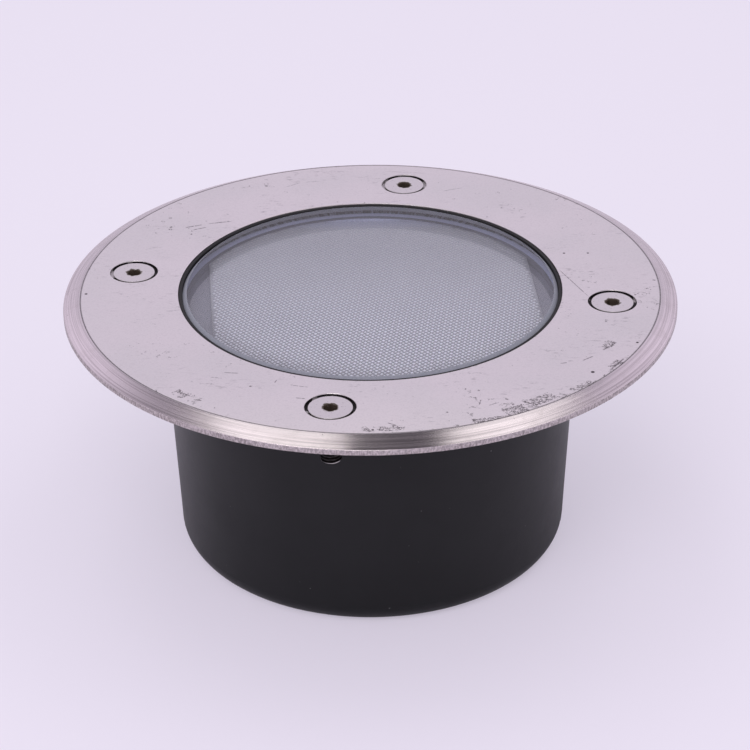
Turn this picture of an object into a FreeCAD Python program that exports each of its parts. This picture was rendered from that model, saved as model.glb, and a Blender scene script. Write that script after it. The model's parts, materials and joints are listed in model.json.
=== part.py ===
import FreeCAD, Part
import math
import os
import re
import Sketcher
from FreeCAD import Placement, Rotation, Vector

# An in ground well light: a bevelled stainless trim ring is held by four screws on the flange
# of a cast pot, and clamps a stepped glass between two gaskets. A micro-prism diffuser lies
# under the glass on the rim of a reflector, above the LED board. The driver, the terminal
# block and the earth screw stand on the pot's floor, and a cable gland passes its rear wall.
# Frame: the pot's base is z = 0 on the axis, the gland is at +Y. Lengths in mm, angles in degrees.

PARTS_FOLDER = "parts"
TOLERANCE = 0.01
AXIS_LINE = 10

RING_SCREWS = 4
WEB_COUNT = 8
OUTER_CHIPS = 8
INNER_CHIPS = 4
POLES = ("-pole_pitch", "0", "pole_pitch")
CORNER_TURN = "45"
# share of the shorter run that the arc at a wire's corner takes
CORNER_SHARE = 0.45

# Driving sizes: each is one cell of the sheet Sizes.
DRIVING = [
    ("total_height", 67.0, "base of the pot to the top of the ring"),
    # trim ring
    ("ring_radius", 75.0, "outside of the ring"),
    ("ring_thick", 3.3, "ring plate"),
    ("ring_opening", 47.0, "radius of the hole for the glass"),
    ("bevel_width", 4.0, "turned bevel, across"),
    ("bevel_drop", 1.8, "turned bevel, down"),
    ("edge_break", 0.25, "broken sharp edges of the ring"),
    ("screw_circle", 59.3, "radius of the ring screws' circle"),
    ("screw_turn", -9.0, "turn of the screw pattern about Z"),
    # ring screws
    ("screw_radius", 2.5, "M5 shank"),
    ("screw_length", 14.0, "overall, as countersunk screws are measured"),
    ("head_radius", 5.1, "countersunk head"),
    ("head_land", 0.3, "cylindrical edge of the head"),
    ("head_sink", 0.2, "head below the ring's face"),
    ("socket_flats", 3.0, "hexagon socket across flats"),
    ("socket_depth", 2.0, "hexagon socket"),
    ("screw_end_chamfer", 0.6, "lead-in at the screw's end"),
    ("counterbore_radius", 5.9, "pocket round the head"),
    ("counterbore_depth", 0.9, "pocket round the head"),
    ("seat_gap", 0.05, "radial gap between a screw and its hole or seat"),
    # glass and its gaskets
    ("glass_radius", 46.0, "upper step of the glass"),
    ("skirt_radius", 50.0, "lower step of the glass"),
    ("skirt_thick", 4.2, "lower step of the glass"),
    ("glass_chamfer", 0.95, "ground top edge of the glass"),
    ("glass_edge_break", 0.3, "ground lower edges of the glass"),
    ("washer_thick", 1.0, "ring gasket under the ring"),
    ("lip_recess", 0.6, "gasket lip below the ring's face"),
    ("lip_gap", 0.05, "gasket lip to glass and to ring"),
    ("seat_gasket_thick", 1.5, "gasket under the glass"),
    ("gasket_margin", 0.25, "gaskets to the pocket's wall"),
    # pot
    ("pocket_gap", 0.6, "glass skirt to the pocket's wall"),
    ("ledge_width", 3.4, "seat of the glass"),
    ("flange_radius", 66.0, "flange under the ring"),
    ("flange_thick", 4.0, "flange under the ring"),
    ("boss_radius", 4.7, "screw bosses under the flange"),
    ("boss_drop", 1.4, "screw bosses under the flange"),
    ("collar_radius", 54.5, "collar round the glass pocket"),
    ("collar_depth", 10.2, "collar below the ring's underside"),
    ("collar_fillet", 2.4, "collar to wall"),
    ("wall_top_radius", 50.8, "tapered wall at the collar"),
    ("wall_base_radius", 48.4, "tapered wall at the base"),
    ("wall_thick", 3.0, "tapered wall at the base"),
    ("floor_thick", 3.5, "pot floor"),
    ("base_fillet", 5.1, "outer bottom edge"),
    ("inner_fillet", 3.0, "inner bottom edge"),
    ("gusset_thick", 2.2, "webs under the flange"),
    ("gusset_reach", 63.0, "webs under the flange, outer end"),
    ("gusset_drop", 5.4, "webs below the flange, at the collar"),
    ("gusset_tip", 1.0, "webs below the flange, at the outer end"),
    ("cast_overlap", 1.0, "how far cast features run into each other"),
    ("post_radius", 3.5, "posts of the mounting plate"),
    ("post_circle", 42.5, "posts of the mounting plate"),
    ("post_web", 3.0, "web from post to wall"),
    ("plate_level", 34.0, "top of the posts"),
    # light chamber
    ("plate_radius", 45.4, "mounting plate"),
    ("plate_thick", 3.0, "mounting plate"),
    ("board_radius", 27.0, "LED board"),
    ("board_thick", 1.6, "LED board"),
    ("board_screw_circle", 23.0, "LED board's screws"),
    ("chip_side", 3.0, "LED package"),
    ("chip_thick", 0.7, "LED package"),
    ("outer_chip_circle", 14.0, "eight LEDs"),
    ("inner_chip_circle", 6.0, "four LEDs"),
    ("connector_length", 7.0, "board connector"),
    ("connector_width", 7.4, "board connector"),
    ("connector_height", 5.0, "board connector"),
    ("connector_end", 25.0, "board connector's mouth from the axis"),
    ("connector_wall", 0.8, "board connector"),
    ("reflector_foot_radius", 31.5, "inside of the reflector at the plate"),
    ("reflector_mouth_radius", 38.0, "inside of the reflector at its rim"),
    ("reflector_wall", 1.5, "reflector"),
    ("rim_radius", 46.4, "reflector rim"),
    ("rim_thick", 1.6, "reflector rim"),
    ("rim_edge_height", 1.7, "upstand round the diffuser"),
    ("rim_edge_thick", 0.7, "upstand round the diffuser"),
    ("ear_width", 9.0, "reflector's feet"),
    ("ear_thick", 2.5, "reflector's feet"),
    ("ear_end", 45.2, "reflector's feet, outer end"),
    ("driver_access", 3.4, "holes over the plate screws"),
    ("diffuser_radius", 45.4, "diffuser sheet"),
    ("diffuser_half_width", 40.1, "diffuser sheet, half the width across its flats"),
    ("diffuser_shift", 1.0, "middle between the flats from the axis, X"),
    ("diffuser_thick", 2.0, "diffuser sheet"),
    ("diffuser_gap", 0.1, "diffuser below the glass"),
    ("diffuser_turn", 4.0, "turn of the flats about Z"),
    # small screws: M3 in the plate, the clamp and the terminal block, M2.5 in the board, M4 earth
    ("small_radius", 1.5, "M3 shank"),
    ("small_head_radius", 2.75, "M3 pan head"),
    ("small_head_height", 2.0, "M3 pan head"),
    ("board_screw_radius", 1.25, "M2.5 shank"),
    ("board_head_radius", 2.4, "M2.5 pan head"),
    ("board_head_height", 1.7, "M2.5 pan head"),
    ("board_screw_length", 5.0, "M2.5 under the head"),
    ("plate_screw_length", 12.0, "M3 under the head"),
    ("clamp_screw_length", 6.0, "M3 under the head"),
    ("block_screw_length", 16.0, "M3 under the head"),
    ("earth_radius", 2.0, "M4 shank"),
    ("earth_head_radius", 3.5, "M4 pan head"),
    ("earth_head_height", 2.6, "M4 pan head"),
    ("earth_length", 6.0, "M4 under the head"),
    ("recess_flats", 2.0, "drive recess of the small screws"),
    ("recess_depth", 1.1, "drive recess of the small screws"),
    ("head_crown", 0.6, "chamfer of the small screws' heads"),
    ("blind_gap", 0.5, "hole deeper than its screw"),
    # driver and its clamp
    ("driver_length", 50.0, "driver along X"),
    ("driver_width", 28.0, "driver along Y"),
    ("driver_height", 20.0, "driver"),
    ("driver_front", -28.0, "driver's front face, Y"),
    ("driver_fillet", 1.5, "driver's edges"),
    ("clamp_width", 12.0, "clamp strap"),
    ("clamp_thick", 1.2, "clamp strap"),
    ("clamp_centre", -15.5, "clamp strap's middle, Y"),
    ("clamp_gap", 0.1, "clamp strap to the driver's sides"),
    ("clamp_foot", 9.0, "length of the strap's feet"),
    ("clamp_boss_radius", 3.3, "bosses under the feet"),
    ("clamp_boss_height", 5.0, "bosses under the feet"),
    # terminal block
    ("pole_pitch", 10.0, "terminal poles"),
    ("block_end_wall", 4.5, "block beyond the outer inserts"),
    ("block_width", 14.0, "block along Y"),
    ("block_height", 13.0, "block"),
    ("block_centre", 17.0, "block's middle, Y"),
    ("block_pad_length", 20.0, "cast pad under the block"),
    ("block_pad_width", 8.4, "cast pad under the block"),
    ("block_pad_height", 2.0, "cast pad under the block"),
    ("insert_width", 5.0, "brass inserts along X"),
    ("insert_length", 12.0, "brass inserts along Y"),
    ("insert_height", 6.0, "brass inserts"),
    ("wire_height", 10.0, "wires above the base"),
    ("wire_hole_radius", 1.6, "wire holes of the inserts"),
    ("terminal_screw_radius", 1.5, "terminal screws"),
    ("terminal_screw_length", 6.0, "terminal screws"),
    ("terminal_slot", 0.6, "slots of the terminal screws"),
    ("terminal_spacing", 6.4, "two screws on each pole, along Y"),
    ("terminal_well_radius", 2.0, "wells over the terminal screws"),
    # wires
    ("wire_radius", 0.8, "inner wires over their sleeve"),
    ("wire_hold", 2.0, "wire inside a piece"),
    ("lead_pitch", 2.5, "the driver's two wires at each end"),
    ("lead_centre", -4.0, "the driver's wires, Y"),
    ("lead_rise", 29.5, "where the LED wires rise, X"),
    ("slot_margin", 0.9, "wire slot of the mounting plate"),
    ("near_lane", 3.0, "lane of the wire beside the driver, Y"),
    ("far_lane", 6.0, "lane of the wire beside the block, Y"),
    ("near_turn", -30.5, "outer end of that wire, X"),
    ("far_turn", -34.0, "outer end of the other wire, X"),
    # protective earth
    ("earth_x", 33.0, "earth boss"),
    ("earth_y", 5.0, "earth boss"),
    ("earth_boss_radius", 3.9, "earth boss"),
    ("tag_thick", 0.8, "earth tag"),
    ("tag_radius", 3.7, "earth tag's eye"),
    ("tongue_width", 2.4, "earth tag's tongue"),
    ("barrel_radius", 1.5, "earth tag's crimp barrel"),
    ("barrel_length", 6.0, "earth tag's crimp barrel"),
    ("barrel_start", 4.2, "barrel from the earth screw"),
    # cable gland
    ("gland_level", 22.0, "gland axis above the base"),
    ("gland_thread", 6.25, "gland thread, radius"),
    ("gland_hole_gap", 0.15, "gland thread to the wall's hole"),
    ("pad_radius", 10.0, "cast pads round the gland hole"),
    ("pad_face", 50.0, "outer pad, Y"),
    ("inner_pad_face", 44.6, "inner pad, Y"),
    ("gland_ring_width", 1.9, "gland washer, radial"),
    ("gland_ring_thick", 1.5, "gland washer"),
    ("gland_flats", 15.0, "gland hexagon across flats"),
    ("gland_hex", 4.5, "gland hexagon"),
    ("gland_thread_length", 11.5, "gland thread under the washer face"),
    ("gland_neck", 6.0, "gland neck, radius"),
    ("gland_neck_length", 8.5, "gland neck"),
    ("gland_bore", 4.4, "gland bore, radius"),
    ("seal_radius", 5.0, "seal sleeve, outer radius"),
    ("seal_bore", 3.25, "seal sleeve, inner radius"),
    ("seal_proud", 0.6, "seal beyond the neck"),
    ("seal_depth", 9.5, "seal inside the neck"),
    ("nut_hex", 6.0, "gland nut's hexagon"),
    ("nut_length", 11.6, "gland nut"),
    ("nut_mouth", 4.0, "gland nut's mouth, radius"),
    ("nut_dome", 6.6, "gland nut's dome, radius"),
    ("nut_round", 2.4, "gland nut's dome, rounding"),
    ("nut_gap", 0.3, "gland nut to the hexagon"),
    ("locknut_flats", 17.0, "locknut across flats"),
    ("locknut_thick", 4.0, "locknut"),
]

# Places that follow from the driving sizes: each is one cell of the sheet Places.
DERIVED = [
    ("ring_under", "total_height - ring_thick", "underside of the ring"),
    ("skirt_top", "ring_under - washer_thick", "top of the glass skirt"),
    ("glass_under", "skirt_top - skirt_thick", "underside of the glass"),
    ("glass_seat", "glass_under - seat_gasket_thick", "seat in the pot"),
    ("pocket_radius", "skirt_radius + pocket_gap", "glass pocket"),
    ("ledge_radius", "pocket_radius - ledge_width", "inside of the seat"),
    ("flange_under", "ring_under - flange_thick", "underside of the flange"),
    ("collar_under", "ring_under - collar_depth", "lower end of the collar"),
    ("inner_base_radius", "wall_base_radius - wall_thick", "inside of the wall at the base"),
    ("screw_hole", "screw_radius + seat_gap", "holes of the ring screws"),
    ("head_top", "ring_thick - head_sink", "top of the heads, from the ring's underside"),
    ("cone_start", "head_top - head_land", "seat cone at the head's radius, likewise"),
    ("cone_end", "cone_start - head_radius + screw_radius", "seat cone at the shank, likewise"),
    ("counterbore_floor", "ring_thick - counterbore_depth", "from the ring's underside"),
    ("plate_top", "plate_level + plate_thick", "top of the mounting plate"),
    ("board_top", "plate_top + board_thick", "top of the LED board"),
    ("diffuser_under", "glass_under - diffuser_gap - diffuser_thick", "underside of the diffuser"),
    ("reflector_height", "diffuser_under - plate_top", "reflector under the diffuser"),
    ("small_hole", "small_radius + seat_gap", "holes of the M3 screws"),
    ("driver_top", "floor_thick + driver_height", "top of the driver"),
    ("clamp_side", "driver_length / 2 + clamp_gap", "inside of the strap's legs, X"),
    ("clamp_foot_top", "floor_thick + clamp_boss_height + clamp_thick", "top of the strap's feet"),
    ("clamp_screw_x", "clamp_side + clamp_thick + clamp_foot / 2", "strap's screws"),
    ("block_seat", "floor_thick + block_pad_height", "underside of the terminal block"),
    ("block_half", "pole_pitch + insert_width / 2 + block_end_wall", "half the block's length"),
    ("block_top", "block_seat + block_height", "top of the terminal block"),
    ("tag_under", "wire_height - barrel_radius", "top of the earth boss"),
    ("tag_top", "tag_under + tag_thick", "top of the earth tag"),
    ("connector_axis", "board_top + connector_height / 2", "wires in the board connector"),
    ("gland_hole", "gland_thread + gland_hole_gap", "hole of the gland"),
    ("nut_start", "gland_ring_thick + gland_hex + nut_gap", "gland nut from the pad"),
    ("neck_end", "gland_ring_thick + gland_hex + gland_neck_length", "gland neck from the pad"),
    ("nut_thread", "gland_neck + seat_gap", "gland nut's thread, radius"),
]

SHEET_OF = {name: "Sizes" for name, _, _ in DRIVING}
SHEET_OF.update({name: "Places" for name, _, _ in DERIVED})

doc = FreeCAD.newDocument("WellLight")
subparts = []


def bound(text):
    """Return an expression with each size written as a cell of its sheet."""
    def cell(match):
        word = match.group(0)
        return f"{SHEET_OF[word]}.{word}" if word in SHEET_OF else word
    return re.sub(r"[a-z_][a-z0-9_]*", cell, text)


def number(text):
    """Return the present value of an expression in sizes."""
    return float(doc.getObject("Places").evalExpression(bound(text)))


def fill_sheet(name, rows):
    """Write names, contents and notes to a sheet, with each name as its content's alias."""
    sheet = doc.addObject("Spreadsheet::Sheet", name)
    for line, (alias, content, note) in enumerate(rows, 1):
        sheet.set(f"A{line}", alias)
        sheet.set(f"B{line}", content)
        sheet.setAlias(f"B{line}", alias)
        sheet.set(f"C{line}", note)
    doc.recompute()


def make_sheets():
    """Make the sheet of driving sizes and the sheet of places derived from them."""
    fill_sheet("Sizes", [(name, str(value), note) for name, value, note in DRIVING])
    fill_sheet("Places", [(name, "=" + bound(text), note) for name, text, note in DERIVED])


def bind(thing, **properties):
    """Bind properties of an object to expressions in sizes."""
    for prop, text in properties.items():
        thing.setExpression(prop.replace("__", "."), bound(text))


def place(thing, x="0", y="0", z="0", turn="0"):
    """Put a sub-part at a place, turned about Z, all bound to the sheets."""
    bind(thing, Placement__Base__x=x, Placement__Base__y=y, Placement__Base__z=z)
    if turn != "0":
        thing.Placement.Rotation = Rotation(Vector(0, 0, 1), number(turn))
        bind(thing, Placement__Rotation__Angle=turn)


def new_body(label):
    """Start a sub-part that is built from sketches and features."""
    body = doc.addObject("PartDesign::Body", label)
    body.Label = label
    body.AllowCompound = True
    subparts.append(body)
    return body


def datum(body, role):
    """Return one of a body's own origin planes or axes."""
    return next(item for item in body.Origin.OriginFeatures if item.Role == role)


def new_sketch(body, name, plane="XY_Plane", level="0"):
    """Attach a sketch to a body's plane, moved along the plane's normal by level."""
    sketch = body.newObject("Sketcher::SketchObject", name)
    sketch.AttachmentSupport = (datum(body, plane), [""])
    sketch.MapMode = "FlatFace"
    bind(sketch, AttachmentOffset__Base__z=level)
    return sketch


def fix_coordinate(sketch, kind, axis, element, end, text):
    """Hold one coordinate of a point at a bound value, or on the axis when it is zero."""
    if text == "0":
        sketch.addConstraint(Sketcher.Constraint("PointOnObject", element, end, axis))
        return
    held = sketch.addConstraint(Sketcher.Constraint(kind, -1, 1, element, end, number(text)))
    sketch.setExpression(f"Constraints[{held}]", bound(text))


def fix_point(sketch, element, end, x, y):
    """Hold a point of a sketch at bound coordinates."""
    fix_coordinate(sketch, "DistanceX", -2, element, end, x)
    fix_coordinate(sketch, "DistanceY", -1, element, end, y)


def outline(sketch, corners):
    """Draw a closed outline of straight lines through corners given as pairs of expressions."""
    spots = [Vector(number(x), number(y), 0) for x, y in corners]
    first = sketch.GeometryCount
    for here, there in zip(spots, spots[1:] + spots[:1]):
        sketch.addGeometry(Part.LineSegment(here, there), False)
    for step in range(len(corners)):
        following = first + (step + 1) % len(corners)
        sketch.addConstraint(Sketcher.Constraint("Coincident", first + step, 2, following, 1))
    for step, (x, y) in enumerate(corners):
        fix_point(sketch, first + step, 1, x, y)


def rectangle(sketch, x, y, width, height):
    """Draw a rectangle about the centre (x, y)."""
    left, right = f"{x} - ({width}) / 2", f"{x} + ({width}) / 2"
    low, high = f"{y} - ({height}) / 2", f"{y} + ({height}) / 2"
    outline(sketch, [(left, low), (right, low), (right, high), (left, high)])


def circle(sketch, x, y, radius):
    """Draw a circle with a bound centre and radius."""
    centre = Vector(number(x), number(y), 0)
    round_line = sketch.addGeometry(Part.Circle(centre, Vector(0, 0, 1), number(radius)), False)
    fix_point(sketch, round_line, 3, x, y)
    held = sketch.addConstraint(Sketcher.Constraint("Radius", round_line, number(radius)))
    sketch.setExpression(f"Constraints[{held}]", bound(radius))


def hexagon(sketch, x, flats):
    """Draw a hexagon about (x, 0), given its size across flats, with a corner on the x axis."""
    corner, side = f"({flats}) / sqrt(3)", f"({flats}) / 2"
    outline(sketch, [
        (f"{x} + {corner}", "0"),
        (f"{x} + {corner} / 2", side),
        (f"{x} - {corner} / 2", side),
        (f"{x} - {corner}", "0"),
        (f"{x} - {corner} / 2", f"-{side}"),
        (f"{x} + {corner} / 2", f"-{side}"),
    ])


def pad(body, sketch, length, name="Pad", symmetric=False, backwards=False):
    """Raise a sketch along its plane's normal, against it, or to both sides of it."""
    feature = body.newObject("PartDesign::Pad", name)
    feature.Profile = sketch
    feature.SideType = "Symmetric" if symmetric else "One side"
    feature.Reversed = backwards
    bind(feature, Length=length)
    doc.recompute()
    return feature


def pocket(body, sketch, depth=None, name="Pocket", along=False):
    """Cut a sketch to a depth against or along its plane's normal, or all through both ways."""
    before = body.Tip.Shape.Volume
    feature = body.newObject("PartDesign::Pocket", name)
    feature.Profile = sketch
    feature.Reversed = along
    if depth is None:
        feature.Type = "ThroughAll"
        feature.SideType = "Symmetric"
    else:
        bind(feature, Length=depth)
    doc.recompute()
    check_cut(feature, before)
    return feature


def check_cut(feature, before):
    """Stop when a cut has taken nothing away."""
    least_cut = 0.001
    if feature.Shape.Volume > before - least_cut:
        raise ValueError(f"{feature.Label} cuts nothing")


def turned(body, corners, name="Turning", kind="Revolution", centre="0"):
    """Revolve an outline in the XZ plane about the upright line at x = centre."""
    sketch = new_sketch(body, name + "Profile", "XZ_Plane")
    outline(sketch, corners)
    before = body.Tip.Shape.Volume if body.Tip else 0.0
    feature = body.newObject("PartDesign::" + kind, name)
    feature.Profile = sketch
    if centre == "0":
        feature.ReferenceAxis = (datum(body, "Z_Axis"), [""])
    else:
        middle = number(centre)
        line = Part.LineSegment(Vector(middle, 0, 0), Vector(middle, AXIS_LINE, 0))
        axis = sketch.addGeometry(line, True)
        fix_point(sketch, axis, 1, centre, "0")
        sketch.addConstraint(Sketcher.Constraint("Vertical", axis))
        sketch.addConstraint(Sketcher.Constraint("DistanceY", axis, 1, axis, 2, AXIS_LINE))
        feature.ReferenceAxis = (sketch, ["Axis0"])
    feature.Angle = 360
    doc.recompute()
    if kind == "Groove":
        check_cut(feature, before)
    return feature


def ring_of(body, originals, count, name="Copies"):
    """Repeat features round the body's Z axis."""
    feature = body.newObject("PartDesign::PolarPattern", name)
    feature.Originals = originals
    feature.Axis = (datum(body, "Z_Axis"), [""])
    feature.Angle = 360
    feature.Occurrences = count
    body.Tip = feature
    doc.recompute()
    return feature


def round_edges(body, radius, wanted, name="Round", kind="Fillet"):
    """Fillet or chamfer each edge of the body for which wanted(edge) is true."""
    base = body.Tip
    picked = [f"Edge{place}" for place, edge in enumerate(base.Shape.Edges, 1) if wanted(edge)]
    feature = body.newObject("PartDesign::" + kind, name)
    feature.Base = (base, picked)
    bind(feature, **{"Radius" if kind == "Fillet" else "Size": radius})
    doc.recompute()
    return feature


def circle_at(edge, radius, level):
    """Tell whether an edge is a circle of a radius about the Z axis at a level."""
    curve = edge.Curve
    if not isinstance(curve, Part.Circle):
        return False
    off_axis = abs(curve.Center.x) + abs(curve.Center.y)
    misfit = max(off_axis, abs(curve.Radius - radius), abs(curve.Center.z - level))
    return misfit < TOLERANCE


def pan_screws(label, spots, shank, length, head_radius, head_height):
    """Make equal pan head screws that stand with the underside of their heads at z = 0."""
    body = new_body(label)
    heads = new_sketch(body, "Heads")
    shanks = new_sketch(body, "Shanks", level=f"-({length})")
    drives = new_sketch(body, "Drives", level=head_height)
    for x, y in spots:
        circle(heads, x, y, head_radius)
        circle(shanks, x, y, shank)
        rectangle(drives, x, y, "recess_flats", "recess_flats")
    pad(body, heads, head_height, "HeadPad")
    top = number(head_height)
    at_top = lambda edge: abs(edge.CenterOfMass.z - top) < TOLERANCE
    round_edges(body, "head_crown", at_top, "Crown", "Chamfer")
    pad(body, shanks, length, "ShankPad")
    pocket(body, drives, "recess_depth", "DriveRecess")
    return body


def corner_spots(pitch):
    """Return the four places at 45 degrees on a circle, as expressions."""
    leg = f"{pitch} / sqrt(2)"
    return [(leg, leg), (f"-{leg}", leg), (f"-{leg}", f"-{leg}"), (leg, f"-{leg}")]


def make_trim_ring():
    """Turned plate ring with a bevelled rim and four countersunk holes."""
    body = new_body("trim_ring")
    turned(body, [
        ("ring_opening", "0"),
        ("ring_radius - edge_break", "0"),
        ("ring_radius", "edge_break"),
        ("ring_radius", "ring_thick - bevel_drop"),
        ("ring_radius - bevel_width", "ring_thick"),
        ("ring_opening + edge_break", "ring_thick"),
        ("ring_opening", "ring_thick - edge_break"),
    ])
    cone_at_bore = "screw_circle + counterbore_floor - cone_end + screw_radius"
    hole = turned(body, [
        ("screw_circle", "0"),
        ("screw_circle + screw_hole", "0"),
        ("screw_circle + screw_hole", "cone_end"),
        (cone_at_bore + " + seat_gap", "counterbore_floor"),
        ("screw_circle + counterbore_radius", "counterbore_floor"),
        ("screw_circle + counterbore_radius", "ring_thick"),
        ("screw_circle", "ring_thick"),
    ], "Countersink", "Groove", "screw_circle")
    ring_of(body, [hole], RING_SCREWS)
    place(body, z="ring_under", turn="screw_turn")


def make_ring_screws():
    """Four countersunk screws with hexagon sockets, measured from the ring's underside."""
    body = new_body("ring_screws")
    tip = "head_top - screw_length"
    shank = turned(body, [
        ("screw_circle", tip),
        ("screw_circle + screw_radius - screw_end_chamfer", tip),
        ("screw_circle + screw_radius", f"{tip} + screw_end_chamfer"),
        ("screw_circle + screw_radius", "cone_end"),
        ("screw_circle + head_radius", "cone_start"),
        ("screw_circle + head_radius", "head_top"),
        ("screw_circle", "head_top"),
    ], "Screw", "Revolution", "screw_circle")
    socket = new_sketch(body, "Socket", level="head_top")
    hexagon(socket, "screw_circle", "socket_flats")
    recess = pocket(body, socket, "socket_depth", "SocketRecess")
    ring_of(body, [shank, recess], RING_SCREWS)
    place(body, z="ring_under", turn="screw_turn")


def make_glass_lens():
    """Stepped glass: the upper step fills the ring's hole, the skirt lies in the pot's pocket."""
    body = new_body("glass_lens")
    height = "total_height - glass_under"
    step = "skirt_top - glass_under"
    turned(body, [
        ("0", "0"),
        ("skirt_radius - glass_edge_break", "0"),
        ("skirt_radius", "glass_edge_break"),
        ("skirt_radius", f"{step} - glass_edge_break"),
        ("skirt_radius - glass_edge_break", step),
        ("glass_radius", step),
        ("glass_radius", f"{height} - glass_chamfer"),
        ("glass_radius - glass_chamfer", height),
        ("0", height),
    ])
    place(body, z="glass_under")


def make_ring_gasket():
    """Gasket with a flat washer on the skirt and a lip between glass and ring."""
    body = new_body("ring_gasket")
    inner, outer = "glass_radius + lip_gap", "ring_opening - lip_gap"
    lip_top = "washer_thick + ring_thick - lip_recess"
    turned(body, [
        (inner, "0"),
        ("pocket_radius - gasket_margin", "0"),
        ("pocket_radius - gasket_margin", "washer_thick"),
        (outer, "washer_thick"),
        (outer, lip_top),
        (inner, lip_top),
    ])
    place(body, z="skirt_top")


def make_seat_gasket():
    """Flat gasket between the glass and its seat in the pot."""
    body = new_body("seat_gasket")
    inner, outer = "ledge_radius + gasket_margin", "pocket_radius - gasket_margin"
    turned(body, [
        (inner, "0"),
        (outer, "0"),
        (outer, "seat_gasket_thick"),
        (inner, "seat_gasket_thick"),
    ])
    place(body, z="glass_seat")


def make_diffuser():
    """Round sheet with two straight flats that lies on the reflector's rim."""
    disc = doc.addObject("Part::Cylinder", "DiffuserDisc")
    bind(disc, Radius="diffuser_radius", Height="diffuser_thick")
    strip = doc.addObject("Part::Box", "DiffuserStrip")
    bind(strip, Length="2 * diffuser_half_width", Width="4 * diffuser_radius", Height="diffuser_thick")
    place(strip, "diffuser_shift - diffuser_half_width", "-2 * diffuser_radius")
    sheet = doc.addObject("Part::Common", "diffuser")
    sheet.Label = "diffuser"
    sheet.Base = disc
    sheet.Tool = strip
    place(sheet, z="diffuser_under", turn="diffuser_turn")
    subparts.append(sheet)


def make_reflector():
    """Conical reflector with a rim for the diffuser and four feet on the mounting plate."""
    body = new_body("reflector")
    height = "reflector_height"
    rim_under = "reflector_height - rim_thick"
    turned(body, [
        ("reflector_foot_radius", "0"),
        ("reflector_foot_radius + reflector_wall", "0"),
        ("reflector_mouth_radius + reflector_wall", rim_under),
        ("rim_radius", rim_under),
        ("rim_radius", f"{height} + rim_edge_height"),
        ("rim_radius - rim_edge_thick", f"{height} + rim_edge_height"),
        ("rim_radius - rim_edge_thick", height),
        ("reflector_mouth_radius", height),
    ])
    ear = new_sketch(body, "Ear")
    start = "reflector_foot_radius + reflector_wall / 2"
    side = "ear_width / 2"
    outline(ear, [(start, f"-{side}"), ("ear_end", f"-{side}"), ("ear_end", side), (start, side)])
    foot = pad(body, ear, "ear_thick", "EarPad")
    screw_hole = new_sketch(body, "EarHole", level="ear_thick")
    circle(screw_hole, "post_circle", "0", "small_hole")
    through_foot = pocket(body, screw_hole, "ear_thick", "EarHolePocket")
    access = new_sketch(body, "Access", level=height)
    circle(access, "post_circle", "0", "driver_access")
    over_screw = pocket(body, access, "rim_thick", "AccessPocket")
    ring_of(body, [foot, through_foot, over_screw], len(corner_spots("post_circle")))
    place(body, z="plate_top", turn=CORNER_TURN)


def make_heat_spreader():
    """Round mounting plate with screw holes and a slot for the LED wires."""
    body = new_body("heat_spreader")
    blank = new_sketch(body, "Blank")
    circle(blank, "0", "0", "plate_radius")
    pad(body, blank, "plate_thick", "Plate")
    holes = new_sketch(body, "Holes")
    for x, y in corner_spots("post_circle"):
        circle(holes, x, y, "small_hole")
    for x, y in corner_spots("board_screw_circle"):
        circle(holes, x, y, "board_screw_radius + seat_gap")
    slot_width = "2 * (wire_radius + slot_margin)"
    rectangle(holes, "lead_rise", "lead_centre", slot_width, f"lead_pitch + {slot_width}")
    pocket(body, holes, name="HolePocket")
    place(body, z="plate_level")


def make_led_board():
    """Metal-core board with four screw holes."""
    body = new_body("led_board")
    blank = new_sketch(body, "Blank")
    circle(blank, "0", "0", "board_radius")
    pad(body, blank, "board_thick", "Board")
    holes = new_sketch(body, "Holes")
    for x, y in corner_spots("board_screw_circle"):
        circle(holes, x, y, "board_screw_radius + seat_gap")
    pocket(body, holes, name="HolePocket")
    place(body, z="plate_top")


def make_led_chips():
    """Twelve LED packages, eight on an outer and four on an inner circle."""
    body = new_body("led_chips")
    outer = new_sketch(body, "OuterChip")
    rectangle(outer, "outer_chip_circle", "0", "chip_side", "chip_side")
    ring_of(body, [pad(body, outer, "chip_thick", "OuterPad")], OUTER_CHIPS, "OuterChips")
    inner = new_sketch(body, "InnerChip")
    rectangle(inner, "inner_chip_circle", "0", "chip_side", "chip_side")
    ring_of(body, [pad(body, inner, "chip_thick", "InnerPad")], INNER_CHIPS, "InnerChips")
    place(body, z="board_top", turn=f"180 / {OUTER_CHIPS}")


def make_led_connector():
    """Two-pole connector on the board, open towards the wire slot."""
    body = new_body("led_connector")
    shell = new_sketch(body, "Shell")
    middle = "connector_end - connector_length / 2"
    rectangle(shell, middle, "lead_centre", "connector_length", "connector_width")
    pad(body, shell, "connector_height", "ShellPad")
    mouths = new_sketch(body, "Mouths", "YZ_Plane", "connector_end")
    for side in ("-", "+"):
        middle_y = f"lead_centre {side} lead_pitch / 2"
        circle(mouths, middle_y, "connector_height / 2", "wire_radius + seat_gap")
    pocket(body, mouths, "wire_hold + connector_wall", "MouthPocket")
    place(body, z="board_top")


def make_driver_case():
    """Potted driver with two wire holes at each end."""
    body = new_body("driver_case")
    base = new_sketch(body, "Base")
    rectangle(base, "0", "driver_front + driver_width / 2", "driver_length", "driver_width")
    pad(body, base, "driver_height", "Block")
    round_edges(body, "driver_fillet", lambda edge: edge.BoundBox.ZMax > TOLERANCE, "Edges")
    for end, name in (("driver_length / 2", "Output"), ("-driver_length / 2", "Input")):
        holes = new_sketch(body, name, "YZ_Plane", end)
        for side in ("-", "+"):
            middle_y = f"lead_centre {side} lead_pitch / 2"
            circle(holes, middle_y, "wire_height - floor_thick", "wire_radius + seat_gap")
        pocket(body, holes, "wire_hold", name + "Pocket", along=name == "Input")
    place(body, z="floor_thick")


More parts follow.
